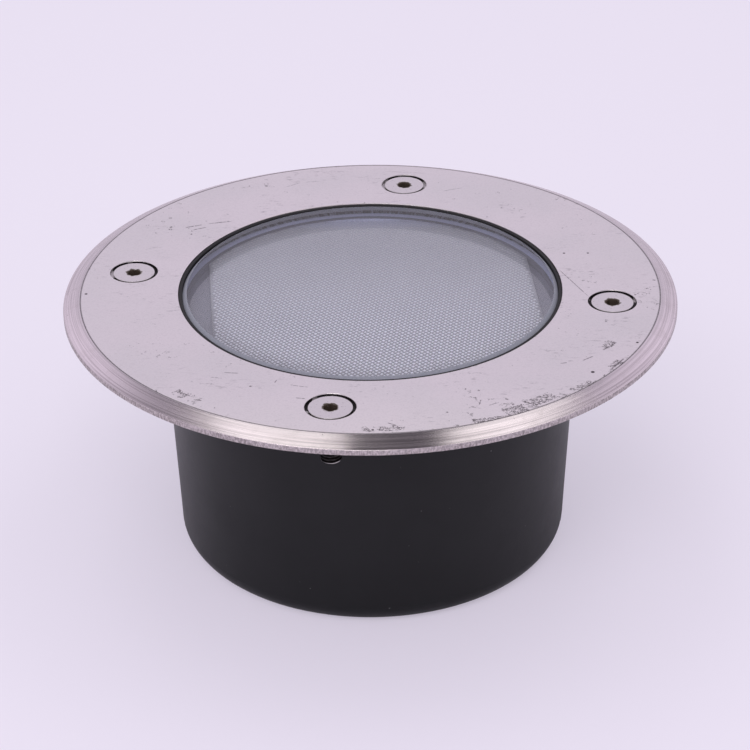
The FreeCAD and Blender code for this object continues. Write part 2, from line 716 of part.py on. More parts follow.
def make_driver_clamp():
    """Sheet strap over the driver, with a screwed foot on each side."""
    body = new_body("driver_clamp")
    side = new_sketch(body, "Side", "XZ_Plane")
    inside, outside = "clamp_side", "clamp_side + clamp_thick"
    foot_end = f"{outside} + clamp_foot"
    foot_low, foot_high = "clamp_foot_top - clamp_thick", "clamp_foot_top"
    top, crown = "driver_top", "driver_top + clamp_thick"
    half = [(inside, top), (inside, foot_low), (foot_end, foot_low), (foot_end, foot_high),
            (outside, foot_high), (outside, crown)]
    mirrored = [(f"-({x})", z) for x, z in reversed(half)]
    outline(side, half + mirrored)
    pad(body, side, "clamp_width", "Strap", symmetric=True)
    holes = new_sketch(body, "Holes", level="clamp_foot_top")
    circle(holes, "clamp_screw_x", "0", "small_hole")
    circle(holes, "-clamp_screw_x", "0", "small_hole")
    pocket(body, holes, "clamp_thick", "HolePocket")
    place(body, y="clamp_centre")


def make_terminal_block():
    """Moulded block with a tunnel for each brass insert, screw wells and two fixing holes."""
    body = new_body("terminal_block")
    blank = new_sketch(body, "Blank")
    rectangle(blank, "0", "0", "2 * block_half", "block_width")
    pad(body, blank, "block_height", "Block")
    tunnels = new_sketch(body, "Tunnels", "XZ_Plane")
    wells = new_sketch(body, "Wells", level="block_height")
    for pole in POLES:
        slack = "2 * seat_gap"
        middle_z = "wire_height - block_seat"
        rectangle(tunnels, pole, middle_z, f"insert_width + {slack}", f"insert_height + {slack}")
        for side in ("-", "+"):
            circle(wells, pole, f"{side} terminal_spacing / 2", "terminal_well_radius")
    pocket(body, tunnels, name="TunnelPocket")
    pocket(body, wells, "block_height - (wire_height - block_seat)", "WellPocket")
    fixings = new_sketch(body, "Fixings")
    circle(fixings, "-pole_pitch / 2", "0", "small_hole")
    circle(fixings, "pole_pitch / 2", "0", "small_hole")
    pocket(body, fixings, name="FixingPocket")
    place(body, y="block_centre", z="block_seat")


def make_terminal_inserts():
    """Brass inserts with a wire hole along Y and two tapped holes from above."""
    body = new_body("terminal_inserts")
    ends = new_sketch(body, "Ends", "XZ_Plane")
    wires = new_sketch(body, "Wires", "XZ_Plane")
    tapped = new_sketch(body, "Tapped", level="insert_height / 2")
    for pole in POLES:
        rectangle(ends, pole, "0", "insert_width", "insert_height")
        circle(wires, pole, "0", "wire_hole_radius")
        for side in ("-", "+"):
            middle_y = f"{side} terminal_spacing / 2"
            circle(tapped, pole, middle_y, "terminal_screw_radius + seat_gap")
    pad(body, ends, "insert_length", "Inserts", symmetric=True)
    pocket(body, wires, name="WirePocket")
    pocket(body, tapped, "insert_height / 2", "TappedPocket")
    place(body, y="block_centre", z="wire_height")


def make_terminal_screws():
    """Six grub screws that press on the wires."""
    body = new_body("terminal_screws")
    shanks = new_sketch(body, "Shanks")
    slots = new_sketch(body, "Slots", level="terminal_screw_length")
    for pole in POLES:
        for side in ("-", "+"):
            middle_y = f"{side} terminal_spacing / 2"
            circle(shanks, pole, middle_y, "terminal_screw_radius")
            rectangle(slots, pole, middle_y, "2 * terminal_well_radius", "terminal_slot")
    pad(body, shanks, "terminal_screw_length", "Shank")
    pocket(body, slots, "recess_depth", "Slot")
    place(body, y="block_centre", z="wire_height + wire_radius + seat_gap")


def make_earth_tag():
    """Ring tag on the earth boss, with a crimp barrel towards the terminal block."""
    body = new_body("earth_tag")
    eye = new_sketch(body, "Eye")
    circle(eye, "0", "0", "tag_radius")
    circle(eye, "0", "0", "earth_radius + seat_gap")
    pad(body, eye, "tag_thick", "EyePad")
    tongue = new_sketch(body, "Tongue")
    near, far = "-(earth_radius + tag_radius) / 2", "-(barrel_start + barrel_length)"
    half = "tongue_width / 2"
    outline(tongue, [(far, f"-{half}"), (near, f"-{half}"), (near, half), (far, half)])
    pad(body, tongue, "tag_thick", "TonguePad")
    barrel = new_sketch(body, "Barrel", "YZ_Plane", "-barrel_start")
    circle(barrel, "0", "barrel_radius", "barrel_radius")
    pad(body, barrel, "barrel_length", "BarrelPad", backwards=True)
    mouth = new_sketch(body, "Mouth", "YZ_Plane", "-(barrel_start + barrel_length)")
    circle(mouth, "0", "barrel_radius", "wire_radius + seat_gap")
    pocket(body, mouth, "wire_hold", "MouthPocket", along=True)
    place(body, "earth_x", "earth_y", "tag_under")


def set_in_wall(body):
    """Turn a gland piece so that its own Z axis leaves the pot at the rear pad."""
    body.Placement.Rotation = Rotation(Vector(1, 0, 0), -90)
    place(body, y="pad_face", z="gland_level")


def make_gland_body():
    """Threaded gland body with its hexagon outside the pad and the neck that holds the seal."""
    body = new_body("gland_body")
    face = "gland_ring_thick"
    shoulder = "gland_ring_thick + gland_hex"
    end = "neck_end"
    hex_sketch = new_sketch(body, "Hexagon", level=face)
    hexagon(hex_sketch, "0", "gland_flats")
    pad(body, hex_sketch, "gland_hex", "HexagonPad")
    turned(body, [
        ("0", f"{face} - gland_thread_length"),
        ("gland_thread", f"{face} - gland_thread_length"),
        ("gland_thread", face),
        ("gland_neck", shoulder),
        ("gland_neck", end),
        ("0", end),
    ], "Stem")
    turned(body, [
        ("0", f"{face} - gland_thread_length"),
        ("gland_bore", f"{face} - gland_thread_length"),
        ("gland_bore", f"{end} - seal_depth"),
        ("seal_radius + seat_gap", f"{end} - seal_depth"),
        ("seal_radius + seat_gap", end),
        ("0", end),
    ], "Bore", "Groove")
    set_in_wall(body)


def make_gland_washer():
    """Rubber washer between the gland's hexagon and the pad."""
    body = new_body("gland_washer")
    inner, outer = "gland_thread + seat_gap", "gland_thread + gland_ring_width"
    turned(body, [
        (inner, "0"),
        (outer, "0"),
        (outer, "gland_ring_thick"),
        (inner, "gland_ring_thick"),
    ])
    set_in_wall(body)


def make_gland_locknut():
    """Hexagon nut on the gland's thread, against the inner pad."""
    body = new_body("gland_locknut")
    face = "inner_pad_face - pad_face - locknut_thick"
    blank = new_sketch(body, "Blank", level=face)
    hexagon(blank, "0", "locknut_flats")
    pad(body, blank, "locknut_thick", "Nut")
    hole = new_sketch(body, "Thread", level=face)
    circle(hole, "0", "0", "gland_thread + seat_gap")
    pocket(body, hole, name="ThreadPocket")
    set_in_wall(body)


def make_gland_seal():
    """Rubber sleeve that grips the cable."""
    body = new_body("gland_seal")
    start, end = "neck_end - seal_depth", "neck_end + seal_proud"
    turned(body, [
        ("seal_bore", start),
        ("seal_radius", start),
        ("seal_radius", end),
        ("seal_bore", end),
    ])
    set_in_wall(body)


def make_gland_nut():
    """Dome nut: a hexagon, a rounded dome and the mouth for the cable."""
    body = new_body("gland_nut")
    hex_sketch = new_sketch(body, "Hexagon", level="nut_start")
    hexagon(hex_sketch, "0", "gland_flats")
    pad(body, hex_sketch, "nut_hex", "HexagonPad")
    dome = new_sketch(body, "Dome", level="nut_start")
    circle(dome, "0", "0", "nut_dome")
    pad(body, dome, "nut_length", "DomePad")
    tip, width = number("nut_start + nut_length"), number("nut_dome")
    round_edges(body, "nut_round", lambda edge: circle_at(edge, width, tip), "DomeRound")
    inside_end = "neck_end + seal_proud"
    turned(body, [
        ("0", "nut_start"),
        ("nut_thread", "nut_start"),
        ("nut_thread", "neck_end"),
        ("seal_radius + seat_gap", inside_end),
        ("nut_mouth", inside_end),
        ("nut_mouth", "nut_start + nut_length"),
        ("0", "nut_start + nut_length"),
    ], "Bore", "Groove")
    set_in_wall(body)


def make_housing():
    """Cast pot: tapered wall, flange with screw bosses and webs, glass seat, posts and pads."""
    body = new_body("housing")
    turned(body, [
        ("0", "0"),
        ("wall_base_radius", "0"),
        ("wall_top_radius", "collar_under"),
        ("collar_radius", "collar_under"),
        ("collar_radius", "flange_under"),
        ("flange_radius", "flange_under"),
        ("flange_radius", "ring_under"),
        ("pocket_radius", "ring_under"),
        ("pocket_radius", "glass_seat"),
        ("ledge_radius", "glass_seat"),
        ("inner_base_radius", "floor_thick"),
        ("0", "floor_thick"),
    ], "Pot")
    base, wall = number("wall_base_radius"), number("wall_top_radius")
    collar, inner = number("collar_under"), number("inner_base_radius")
    floor = number("floor_thick")
    round_edges(body, "base_fillet", lambda edge: circle_at(edge, base, 0), "BaseRound")
    round_edges(body, "collar_fillet", lambda edge: circle_at(edge, wall, collar), "CollarRound")
    round_edges(body, "inner_fillet", lambda edge: circle_at(edge, inner, floor), "FloorRound")

    screw_boss = new_sketch(body, "ScrewBoss", level="flange_under - boss_drop")
    turned_x, turned_y = "screw_circle * cos(screw_turn)", "screw_circle * sin(screw_turn)"
    circle(screw_boss, turned_x, turned_y, "boss_radius")
    boss = pad(body, screw_boss, "boss_drop + flange_thick / 2", "ScrewBossPad")
    tapped = new_sketch(body, "TappedHole", level="ring_under")
    circle(tapped, turned_x, turned_y, "screw_hole")
    thread = pocket(body, tapped, "flange_thick + boss_drop", "TappedPocket")
    ring_of(body, [boss, thread], RING_SCREWS, "FlangeHoles")

    web = new_sketch(body, "Web", "XZ_Plane")
    between = f"screw_turn + 180 / {WEB_COUNT}"
    web.AttachmentOffset = Placement(Vector(), Rotation(Vector(0, 1, 0), number(between)))
    bind(web, AttachmentOffset__Rotation__Angle=between)
    start, top = "collar_radius - cast_overlap", "flange_under + cast_overlap"
    outline(web, [
        (start, top),
        (start, "flange_under - gusset_drop"),
        ("collar_radius", "flange_under - gusset_drop"),
        ("gusset_reach", "flange_under - gusset_tip"),
        ("gusset_reach", top),
    ])
    ring_of(body, [pad(body, web, "gusset_thick", "WebPad", symmetric=True)], WEB_COUNT, "Webs")

    make_posts(body)
    make_floor_bosses(body)
    make_gland_pads(body)
    place(body)


def make_posts(body):
    """Four posts for the mounting plate, each joined to the wall by a web."""
    leg = "post_circle / sqrt(2)"
    column = new_sketch(body, "Post", level="floor_thick / 2")
    circle(column, leg, leg, "post_radius")
    post = pad(body, column, "plate_level - floor_thick / 2", "PostPad")
    across = "post_web / sqrt(8)"
    reach = "(inner_base_radius + wall_thick / 2) / sqrt(2)"
    link = new_sketch(body, "PostWeb", level="floor_thick / 2")
    outline(link, [
        (f"{leg} + {across}", f"{leg} - {across}"),
        (f"{reach} + {across}", f"{reach} - {across}"),
        (f"{reach} - {across}", f"{reach} + {across}"),
        (f"{leg} - {across}", f"{leg} + {across}"),
    ])
    web = pad(body, link, "plate_level - floor_thick / 2", "PostWebPad")
    drilled = new_sketch(body, "PostHole", level="plate_level")
    circle(drilled, leg, leg, "small_hole")
    depth = "plate_screw_length - plate_thick - ear_thick + blind_gap"
    hole = pocket(body, drilled, depth, "PostPocket")
    ring_of(body, [post, web, hole], len(corner_spots("post_circle")), "Posts")


def make_floor_bosses(body):
    """Bosses and pads on the floor, with the blind holes of their screws."""
    start = "floor_thick / 2"
    strap = new_sketch(body, "StrapBosses", level=start)
    strap_holes = new_sketch(body, "StrapHoles", level="floor_thick + clamp_boss_height")
    for x in ("clamp_screw_x", "-clamp_screw_x"):
        circle(strap, x, "clamp_centre", "clamp_boss_radius")
        circle(strap_holes, x, "clamp_centre", "small_hole")
    pad(body, strap, "clamp_boss_height + floor_thick / 2", "StrapBossPad")
    pocket(body, strap_holes, "clamp_screw_length - clamp_thick + blind_gap", "StrapPocket")

    block = new_sketch(body, "BlockPad", level=start)
    rectangle(block, "0", "block_centre", "block_pad_length", "block_pad_width")
    pad(body, block, "block_pad_height + floor_thick / 2", "BlockPadPad")
    block_holes = new_sketch(body, "BlockHoles", level="block_seat")
    circle(block_holes, "-pole_pitch / 2", "block_centre", "small_hole")
    circle(block_holes, "pole_pitch / 2", "block_centre", "small_hole")
    pocket(body, block_holes, "block_screw_length - block_height + blind_gap", "BlockPocket")

    earth = new_sketch(body, "EarthBoss", level=start)
    circle(earth, "earth_x", "earth_y", "earth_boss_radius")
    pad(body, earth, "tag_under - floor_thick / 2", "EarthBossPad")
    earth_hole = new_sketch(body, "EarthHole", level="tag_under")
    circle(earth_hole, "earth_x", "earth_y", "earth_radius + seat_gap")
    pocket(body, earth_hole, "earth_length - tag_thick + blind_gap", "EarthPocket")


def make_gland_pads(body):
    """Flat pads outside and inside the rear wall, with the gland's hole."""
    wall_middle = "inner_base_radius + wall_thick / 2"
    outer = new_sketch(body, "OuterPad", "XZ_Plane", "-pad_face")
    circle(outer, "0", "gland_level", "pad_radius")
    pad(body, outer, f"pad_face - ({wall_middle})", "OuterPadPad")
    inner = new_sketch(body, "InnerPad", "XZ_Plane", f"-({wall_middle})")
    circle(inner, "0", "gland_level", "pad_radius")
    pad(body, inner, f"{wall_middle} - inner_pad_face", "InnerPadPad")
    drilled = new_sketch(body, "GlandHole", "XZ_Plane", "-(pad_face + cast_overlap)")
    circle(drilled, "0", "gland_level", "gland_hole")
    depth = "pad_face - inner_pad_face + 2 * cast_overlap"
    pocket(body, drilled, depth, "GlandPocket", along=True)


def wire_solid(route):
    """Return a round wire along straight runs joined by tangent arcs.

    Each arc starts CORNER_SHARE of the shorter run from its corner, and its radius is that
    length divided by the tangent of half the turn.
    """
    spots = [Vector(*(number(text) for text in spot)) for spot in route]
    edges = []
    start = spots[0]
    for before, corner, after in zip(spots, spots[1:], spots[2:]):
        back, ahead = (before - corner), (after - corner)
        cut = CORNER_SHARE * min(back.Length, ahead.Length)
        entry = corner + back.normalize() * cut
        leave = corner + ahead.normalize() * cut
        half = back.getAngle(ahead) / 2
        radius = cut * math.tan(half)
        towards = (back + ahead).normalize()
        middle = corner + towards * (math.hypot(cut, radius) - radius)
        edges.append(Part.LineSegment(start, entry).toShape())
        edges.append(Part.Arc(entry, middle, leave).toShape())
        start = leave
    edges.append(Part.LineSegment(start, spots[-1]).toShape())
    path = Part.Wire(edges)
    heading = spots[1] - spots[0]
    section = Part.Wire(Part.makeCircle(number("wire_radius"), spots[0], heading))
    return path.makePipeShell([section], True, True)


def make_wire(label, route):
    """Make the sub-part of one wire from its route."""
    wire = doc.addObject("Part::Feature", label)
    wire.Label = label
    wire.Shape = wire_solid(route)
    wire.Placement = Placement()
    subparts.append(wire)


def make_leads():
    """Wires from the terminal block to the driver, to the LED board and to the earth tag."""
    z = "wire_height"
    into_block = "block_centre - insert_length / 2 + wire_hold"
    lower, upper = "lead_centre - lead_pitch / 2", "lead_centre + lead_pitch / 2"
    at_input = "-driver_length / 2 + wire_hold"
    make_wire("live_lead", [
        (at_input, lower, z), ("far_turn", lower, z), ("far_turn", "far_lane", z),
        ("-pole_pitch", "far_lane", z), ("-pole_pitch", into_block, z),
    ])
    make_wire("neutral_lead", [
        (at_input, upper, z), ("near_turn", upper, z), ("near_turn", "near_lane", z),
        ("0", "near_lane", z), ("0", into_block, z),
    ])
    at_output = "driver_length / 2 - wire_hold"
    in_connector = "connector_end - wire_hold"
    for label, y in (("led_minus_lead", lower), ("led_plus_lead", upper)):
        make_wire(label, [
            (at_output, y, z), ("lead_rise", y, z), ("lead_rise", y, "connector_axis"),
            (in_connector, y, "connector_axis"),
        ])
    make_wire("earth_lead", [
        ("pole_pitch", into_block, z), ("pole_pitch", "earth_y", z),
        ("earth_x - barrel_start - barrel_length + wire_hold", "earth_y", z),
    ])


def make_small_screws():
    """Pan head screws of the plate, the LED board, the strap, the block and the earth tag."""
    small = ("small_head_radius", "small_head_height")
    plate = pan_screws("plate_screws", corner_spots("post_circle"),
                       "small_radius", "plate_screw_length", *small)
    place(plate, z="plate_top + ear_thick")
    board = pan_screws("board_screws", corner_spots("board_screw_circle"), "board_screw_radius",
                       "board_screw_length", "board_head_radius", "board_head_height")
    place(board, z="board_top")
    strap = pan_screws("clamp_screws", [("clamp_screw_x", "0"), ("-clamp_screw_x", "0")],
                       "small_radius", "clamp_screw_length", *small)
    place(strap, y="clamp_centre", z="clamp_foot_top")
    block = pan_screws("terminal_fixings", [("pole_pitch / 2", "0"), ("-pole_pitch / 2", "0")],
                       "small_radius", "block_screw_length", *small)
    place(block, y="block_centre", z="block_top")
    earth = pan_screws("earth_screw", [("0", "0")], "earth_radius", "earth_length",
                       "earth_head_radius", "earth_head_height")
    place(earth, "earth_x", "earth_y", "tag_top")


def check_objects():
    """Stop when any object has failed or any sub-part is not a valid shape."""
    for thing in doc.Objects:
        failed = [word for word in thing.State if word in ("Invalid", "Error")]
        if failed:
            raise ValueError(f"{thing.Label} is {failed[0]}")
    for part in subparts:
        if part.Shape.isNull() or not part.Shape.isValid() or not part.Shape.Solids:
            raise ValueError(f"{part.Label} has no valid solid")


def main():
    """Build the light and write one STEP file for each sub-part."""
    make_sheets()
    make_trim_ring()
    make_ring_screws()
    make_glass_lens()
    make_ring_gasket()
    make_seat_gasket()
    make_diffuser()
    make_reflector()
    make_heat_spreader()
    make_led_board()
    make_led_chips()
    make_led_connector()
    make_driver_case()
    make_driver_clamp()
    make_terminal_block()
    make_terminal_inserts()
    make_terminal_screws()
    make_earth_tag()
    make_gland_body()
    make_gland_washer()
    make_gland_locknut()
    make_gland_seal()
    make_gland_nut()
    make_housing()
    make_small_screws()
    make_leads()
    doc.recompute()
    check_objects()
    os.makedirs(PARTS_FOLDER, exist_ok=True)
    for part in subparts:
        part.Shape.exportStep(os.path.join(PARTS_FOLDER, part.Label + ".step"))
        print(part.Label, len(part.Shape.Solids), round(part.Shape.Volume, 1))


main()
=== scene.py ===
"""Dress the in ground well light: its visible surfaces, finishes, lamps and camera.

Sizes inside the classes are millimetres and degrees. A mesh is worked out in millimetres and
scaled by MM when it is written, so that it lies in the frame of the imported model.
"""

import json
import logging
import math
from abc import ABC, abstractmethod
from collections.abc import Iterable, Mapping, Sequence
from dataclasses import dataclass, field
from enum import Enum, IntEnum
from functools import reduce
from typing import Any

import bmesh
import bpy
import numpy as np
from mathutils import Matrix, Vector


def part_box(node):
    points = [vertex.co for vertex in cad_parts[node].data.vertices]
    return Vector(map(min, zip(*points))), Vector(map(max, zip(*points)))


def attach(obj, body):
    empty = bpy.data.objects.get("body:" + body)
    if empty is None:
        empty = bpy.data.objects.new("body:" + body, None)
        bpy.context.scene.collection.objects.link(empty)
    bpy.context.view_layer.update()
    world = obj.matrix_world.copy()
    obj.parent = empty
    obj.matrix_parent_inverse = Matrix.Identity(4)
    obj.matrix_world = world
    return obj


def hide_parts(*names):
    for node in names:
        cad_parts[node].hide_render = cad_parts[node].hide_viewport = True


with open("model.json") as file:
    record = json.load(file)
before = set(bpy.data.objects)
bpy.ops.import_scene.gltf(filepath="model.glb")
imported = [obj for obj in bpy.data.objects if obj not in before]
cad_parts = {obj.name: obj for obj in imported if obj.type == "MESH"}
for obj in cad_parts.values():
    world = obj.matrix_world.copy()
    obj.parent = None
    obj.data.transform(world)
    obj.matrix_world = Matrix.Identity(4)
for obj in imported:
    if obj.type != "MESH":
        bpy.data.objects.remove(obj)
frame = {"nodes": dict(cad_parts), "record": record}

Colour = tuple[float, float, float]

LOG = logging.getLogger("well_light")
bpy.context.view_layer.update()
MM = 0.001
AXIS = np.array([0.0, 0.0, 1.0])

# Points of a mesh that lie nearer to each other than this, in metres, are joined.
WELD = 2e-7
# How far from an arc each flat side gets the point that keeps its shading flat.
HOLD = 0.05
# How much of a side the arc and that point may use at one end, and how much of this the arc may.
SIDE_SHARE = 0.49
ARC_SHARE = 0.9

# The radius of the ring's opening and of the glass in it, the circle of the four ring screws and
# the turn of the first screw from +X.
OPENING = 47.0
GLASS_UPPER = 46.0
SCREW_CIRCLE = 59.3
SCREW_TURN = -9.0
SCREW_COUNT = 4
# How far the tall prisms of the diffuser stand above the plate under them.
PRISM_HEIGHT = 0.34


def top_of(node: str) -> float:
    """Return the height of a node's highest point in millimetres."""
    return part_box(node)[1].z / MM


def foot_of(node: str) -> float:
    """Return the height of a node's lowest point in millimetres."""
    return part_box(node)[0].z / MM


def reach_of(node: str) -> float:
    """Return how far a node reaches along +X in millimetres."""
    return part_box(node)[1].x / MM


# ---------------------------------------------------------------- surfaces


def arc_corner(before: np.ndarray, corner: np.ndarray, after: np.ndarray, size: float,
               steps: int) -> np.ndarray:
    """Round one corner of an outline.

    With the unit directions u and v from the corner along its two sides and the angle A between
    them, the arc starts size / tan(A / 2) along each side, its centre lies size / sin(A / 2) along
    their bisector, and its points swing evenly from the first foot to the second. One more point
    on each side, HOLD from the arc, keeps the shading of the flats beside it flat.

    Args:
        before: The outline's previous corner.
        corner: The corner that is rounded.
        after: The outline's next corner.
        size: The radius of the arc.
        steps: How many points the arc has.

    Returns:
        The points of the arc, one row each.
    """
    back, ahead = before - corner, after - corner
    room = min(np.linalg.norm(back), np.linalg.norm(ahead)) * SIDE_SHARE
    back, ahead = back / np.linalg.norm(back), ahead / np.linalg.norm(ahead)
    between = math.acos(float(np.clip(back @ ahead, -1.0, 1.0)))
    size = min(size, ARC_SHARE * room * math.tan(between / 2))
    start = size / math.tan(between / 2)
    hold = start + min(HOLD, 0.5 * (room - start))
    bisector = (back + ahead) / np.linalg.norm(back + ahead)
    centre = corner + bisector * size / math.sin(between / 2)
    first, second = corner + back * start - centre, corner + ahead * start - centre
    swing = math.pi - between
    share = np.linspace(0.0, 1.0, steps)[:, None]
    arc = (np.sin((1 - share) * swing) * first + np.sin(share * swing) * second) / math.sin(swing)
    return np.concatenate([[corner + back * hold], centre + arc, [corner + ahead * hold]])


def outline(corners: Sequence[tuple[float, ...]], steps: int = 4, closed: bool = True) -> np.ndarray:
    """Work out an outline whose corners are rounded where a corner gives a radius.

    Args:
        corners: Pairs (r, z), or triples (r, z, radius) where the corner is rounded.
        steps: How many points each rounded corner has.
        closed: Whether the last corner joins the first.

    Returns:
        The outline's points, with the first repeated at the end when it is closed.
    """
    spots = [np.array(corner[:2], float) for corner in corners]
    rows: list[np.ndarray] = []
    for place, corner in enumerate(corners):
        inside = closed or 0 < place < len(corners) - 1
        if len(corner) == 3 and inside:
            rows.append(arc_corner(spots[place - 1], spots[place], spots[(place + 1) % len(spots)],
                                   corner[2], steps))
        else:
            rows.append(spots[place][None, :])
    points = np.concatenate(rows)
    return np.concatenate([points, points[:1]]) if closed else points


def lathe(profile: np.ndarray, angles: np.ndarray) -> np.ndarray:
    """Turn a profile about the Z axis.

    The point of row i and column j is (r_i cos a_j, r_i sin a_j, z_i).

    Args:
        profile: The points (r, z).
        angles: The angles in radians.

    Returns:
        A grid of points, one row for each profile point.
    """
    radius, height = profile[:, 0, None], profile[:, 1, None]
    return np.stack([radius * np.cos(angles), radius * np.sin(angles), height + 0 * angles], axis=-1)


def turn_of(steps: int, start: float = 0.0) -> np.ndarray:
    """Return equally spaced angles of one full turn in radians, from a start in degrees."""
    return math.radians(start) + np.arange(steps) * (2 * math.pi / steps)


def screw_angle(place: int) -> float:
    """Return the angle of one ring screw about the axis in radians."""
    return math.radians(SCREW_TURN + 360.0 / SCREW_COUNT * place)


def linked(name: str, data: bpy.types.ID) -> bpy.types.Object:
    """Put a new object into the scene.

    Args:
        name: The object's name.
        data: Its mesh, lamp or camera.

    Returns:
        The object.
    """
    thing = bpy.data.objects.new(name, data)
    bpy.context.scene.collection.objects.link(thing)
    return thing


@dataclass
class Shell:
    """A closed surface that is gathered from grids of points with shared borders."""

    name: str
    points: list[np.ndarray] = field(default_factory=list)
    quads: list[np.ndarray] = field(default_factory=list)
    skins: list[np.ndarray] = field(default_factory=list)

    def add(self, grid: np.ndarray, wrap: bool = False, skin: int = 0) -> None:
        """Add a grid of points as quads.

        Args:
            grid: Points in millimetres, as rows by columns by 3.
            wrap: Whether the last column joins the first.
            skin: The material index of these faces.
        """
        rows, columns = grid.shape[:2]
        start = sum(len(part) for part in self.points)
        index = start + np.arange(rows * columns).reshape(rows, columns)
        if wrap:
            index = np.concatenate([index, index[:, :1]], axis=1)
        quads = np.stack([index[:-1, :-1], index[:-1, 1:], index[1:, 1:], index[1:, :-1]], axis=-1)
        self.points.append(np.array(grid, float).reshape(-1, 3))
        self.quads.append(quads.reshape(-1, 4))
        self.skins.append(np.full(quads.shape[0] * quads.shape[1], skin))

    def build(self, sharp: float = 32.0) -> bpy.types.Object:
        """Write the mesh, join points that coincide and turn the faces outwards.

        Args:
            sharp: Edges with a larger angle than this, in degrees, are shaded sharp.

        Returns:
            The new object, linked to the scene.
        """
        mesh = bpy.data.meshes.new(self.name)
        points = np.concatenate(self.points) * MM
        quads = np.concatenate(self.quads)
        mesh.vertices.add(len(points))
        mesh.vertices.foreach_set("co", points.astype(np.float32).ravel())
        mesh.loops.add(quads.size)
        mesh.loops.foreach_set("vertex_index", quads.astype(np.int32).ravel())
        mesh.polygons.add(len(quads))
        mesh.polygons.foreach_set("loop_start", np.arange(0, quads.size, 4, dtype=np.int32))
        mesh.polygons.foreach_set("material_index", np.concatenate(self.skins).astype(np.int32))
        mesh.update(calc_edges=True)
        mesh.validate()
        soup = bmesh.new()
        soup.from_mesh(mesh)
        bmesh.ops.remove_doubles(soup, verts=soup.verts, dist=WELD)
        bmesh.ops.recalc_face_normals(soup, faces=soup.faces)
        soup.to_mesh(mesh)
        soup.free()
        mesh.shade_smooth()
        mesh.set_sharp_from_angle(angle=math.radians(sharp))
        return linked(self.name, mesh)


def finish_piece(thing: bpy.types.Object, replaced: Sequence[str],
                 materials: Sequence[bpy.types.Material]) -> None:
    """Give a new piece its materials and its body, and hide the CAD nodes that it stands for.

    Args:
        thing: The new piece.
        replaced: The CAD nodes that it replaces.
        materials: The materials, in the order of the mesh's material indices.
    """
    for material in materials:
        thing.data.materials.append(material)
    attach(thing, "root")
    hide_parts(*replaced)
    LOG.info("%s: %d faces for %s", thing.name, len(thing.data.polygons), ", ".join(replaced))


# ---------------------------------------------------------------- shader arithmetic


class Signal:
    """A shader socket with arithmetic: each operator adds a Math node to its recipe."""

    def __init__(self, recipe: "Recipe", socket: bpy.types.NodeSocket) -> None:
        """Wrap a socket of a recipe's node tree."""
        self.recipe = recipe
        self.socket = socket

    def math(self, operation: str, *values: "Signal | float") -> "Signal":
        """Return the result of a Math node on these values."""
        return self.recipe.out("ShaderNodeMath", {"operation": operation}, dict(enumerate(values)))

    def __add__(self, other: "Signal | float") -> "Signal":
        """Add."""
        return self.math("ADD", self, other)

    def __radd__(self, other: "Signal | float") -> "Signal":
        """Add, reflected."""
        return self.math("ADD", other, self)

    def __sub__(self, other: "Signal | float") -> "Signal":
        """Subtract."""
        return self.math("SUBTRACT", self, other)

    def __rsub__(self, other: "Signal | float") -> "Signal":
        """Subtract, reflected."""
        return self.math("SUBTRACT", other, self)

    def __mul__(self, other: "Signal | float") -> "Signal":
        """Multiply."""
        return self.math("MULTIPLY", self, other)

    def __rmul__(self, other: "Signal | float") -> "Signal":
        """Multiply, reflected."""
        return self.math("MULTIPLY", other, self)

    def __pow__(self, other: "Signal | float") -> "Signal":
        """Raise to a power."""
        return self.math("POWER", self, other)

    def __abs__(self) -> "Signal":
        """Return the absolute value."""
        return self.math("ABSOLUTE", self)

    def __or__(self, other: "Signal | float") -> "Signal":
        """Return the larger of two masks."""
        return self.math("MAXIMUM", self, other)

    def step(self, low: float, high: float) -> "Signal":
        """Make a smooth step of this signal.

        Args:
            low: Where the step is 0; it may be the larger of the two.
            high: Where it is 1.

        Returns:
            The step.
        """
        flip = low > high
        ends = (high, low) if flip else (low, high)
        rise = self.recipe.out("ShaderNodeMapRange", {"interpolation_type": "SMOOTHSTEP"},
                               {0: self, 1: ends[0], 2: ends[1]})
        return 1.0 - rise if flip else rise


def union(masks: Iterable[Signal]) -> Signal:
    """Return the largest of some masks."""
    return reduce(Signal.__or__, masks)


def rgba(value: Any) -> Any:
    """Return a colour of three numbers with its alpha, and anything else as it is."""
    return (*value, 1.0) if isinstance(value, tuple) and len(value) == 3 else value


@dataclass(frozen=True)
class Mark:
    """A mark on the ring's face: its middle, its turn from +X in degrees, its size and its weight."""

    x: float
    y: float
    turn: float
    length: float
    width: float
    weight: float = 1.0


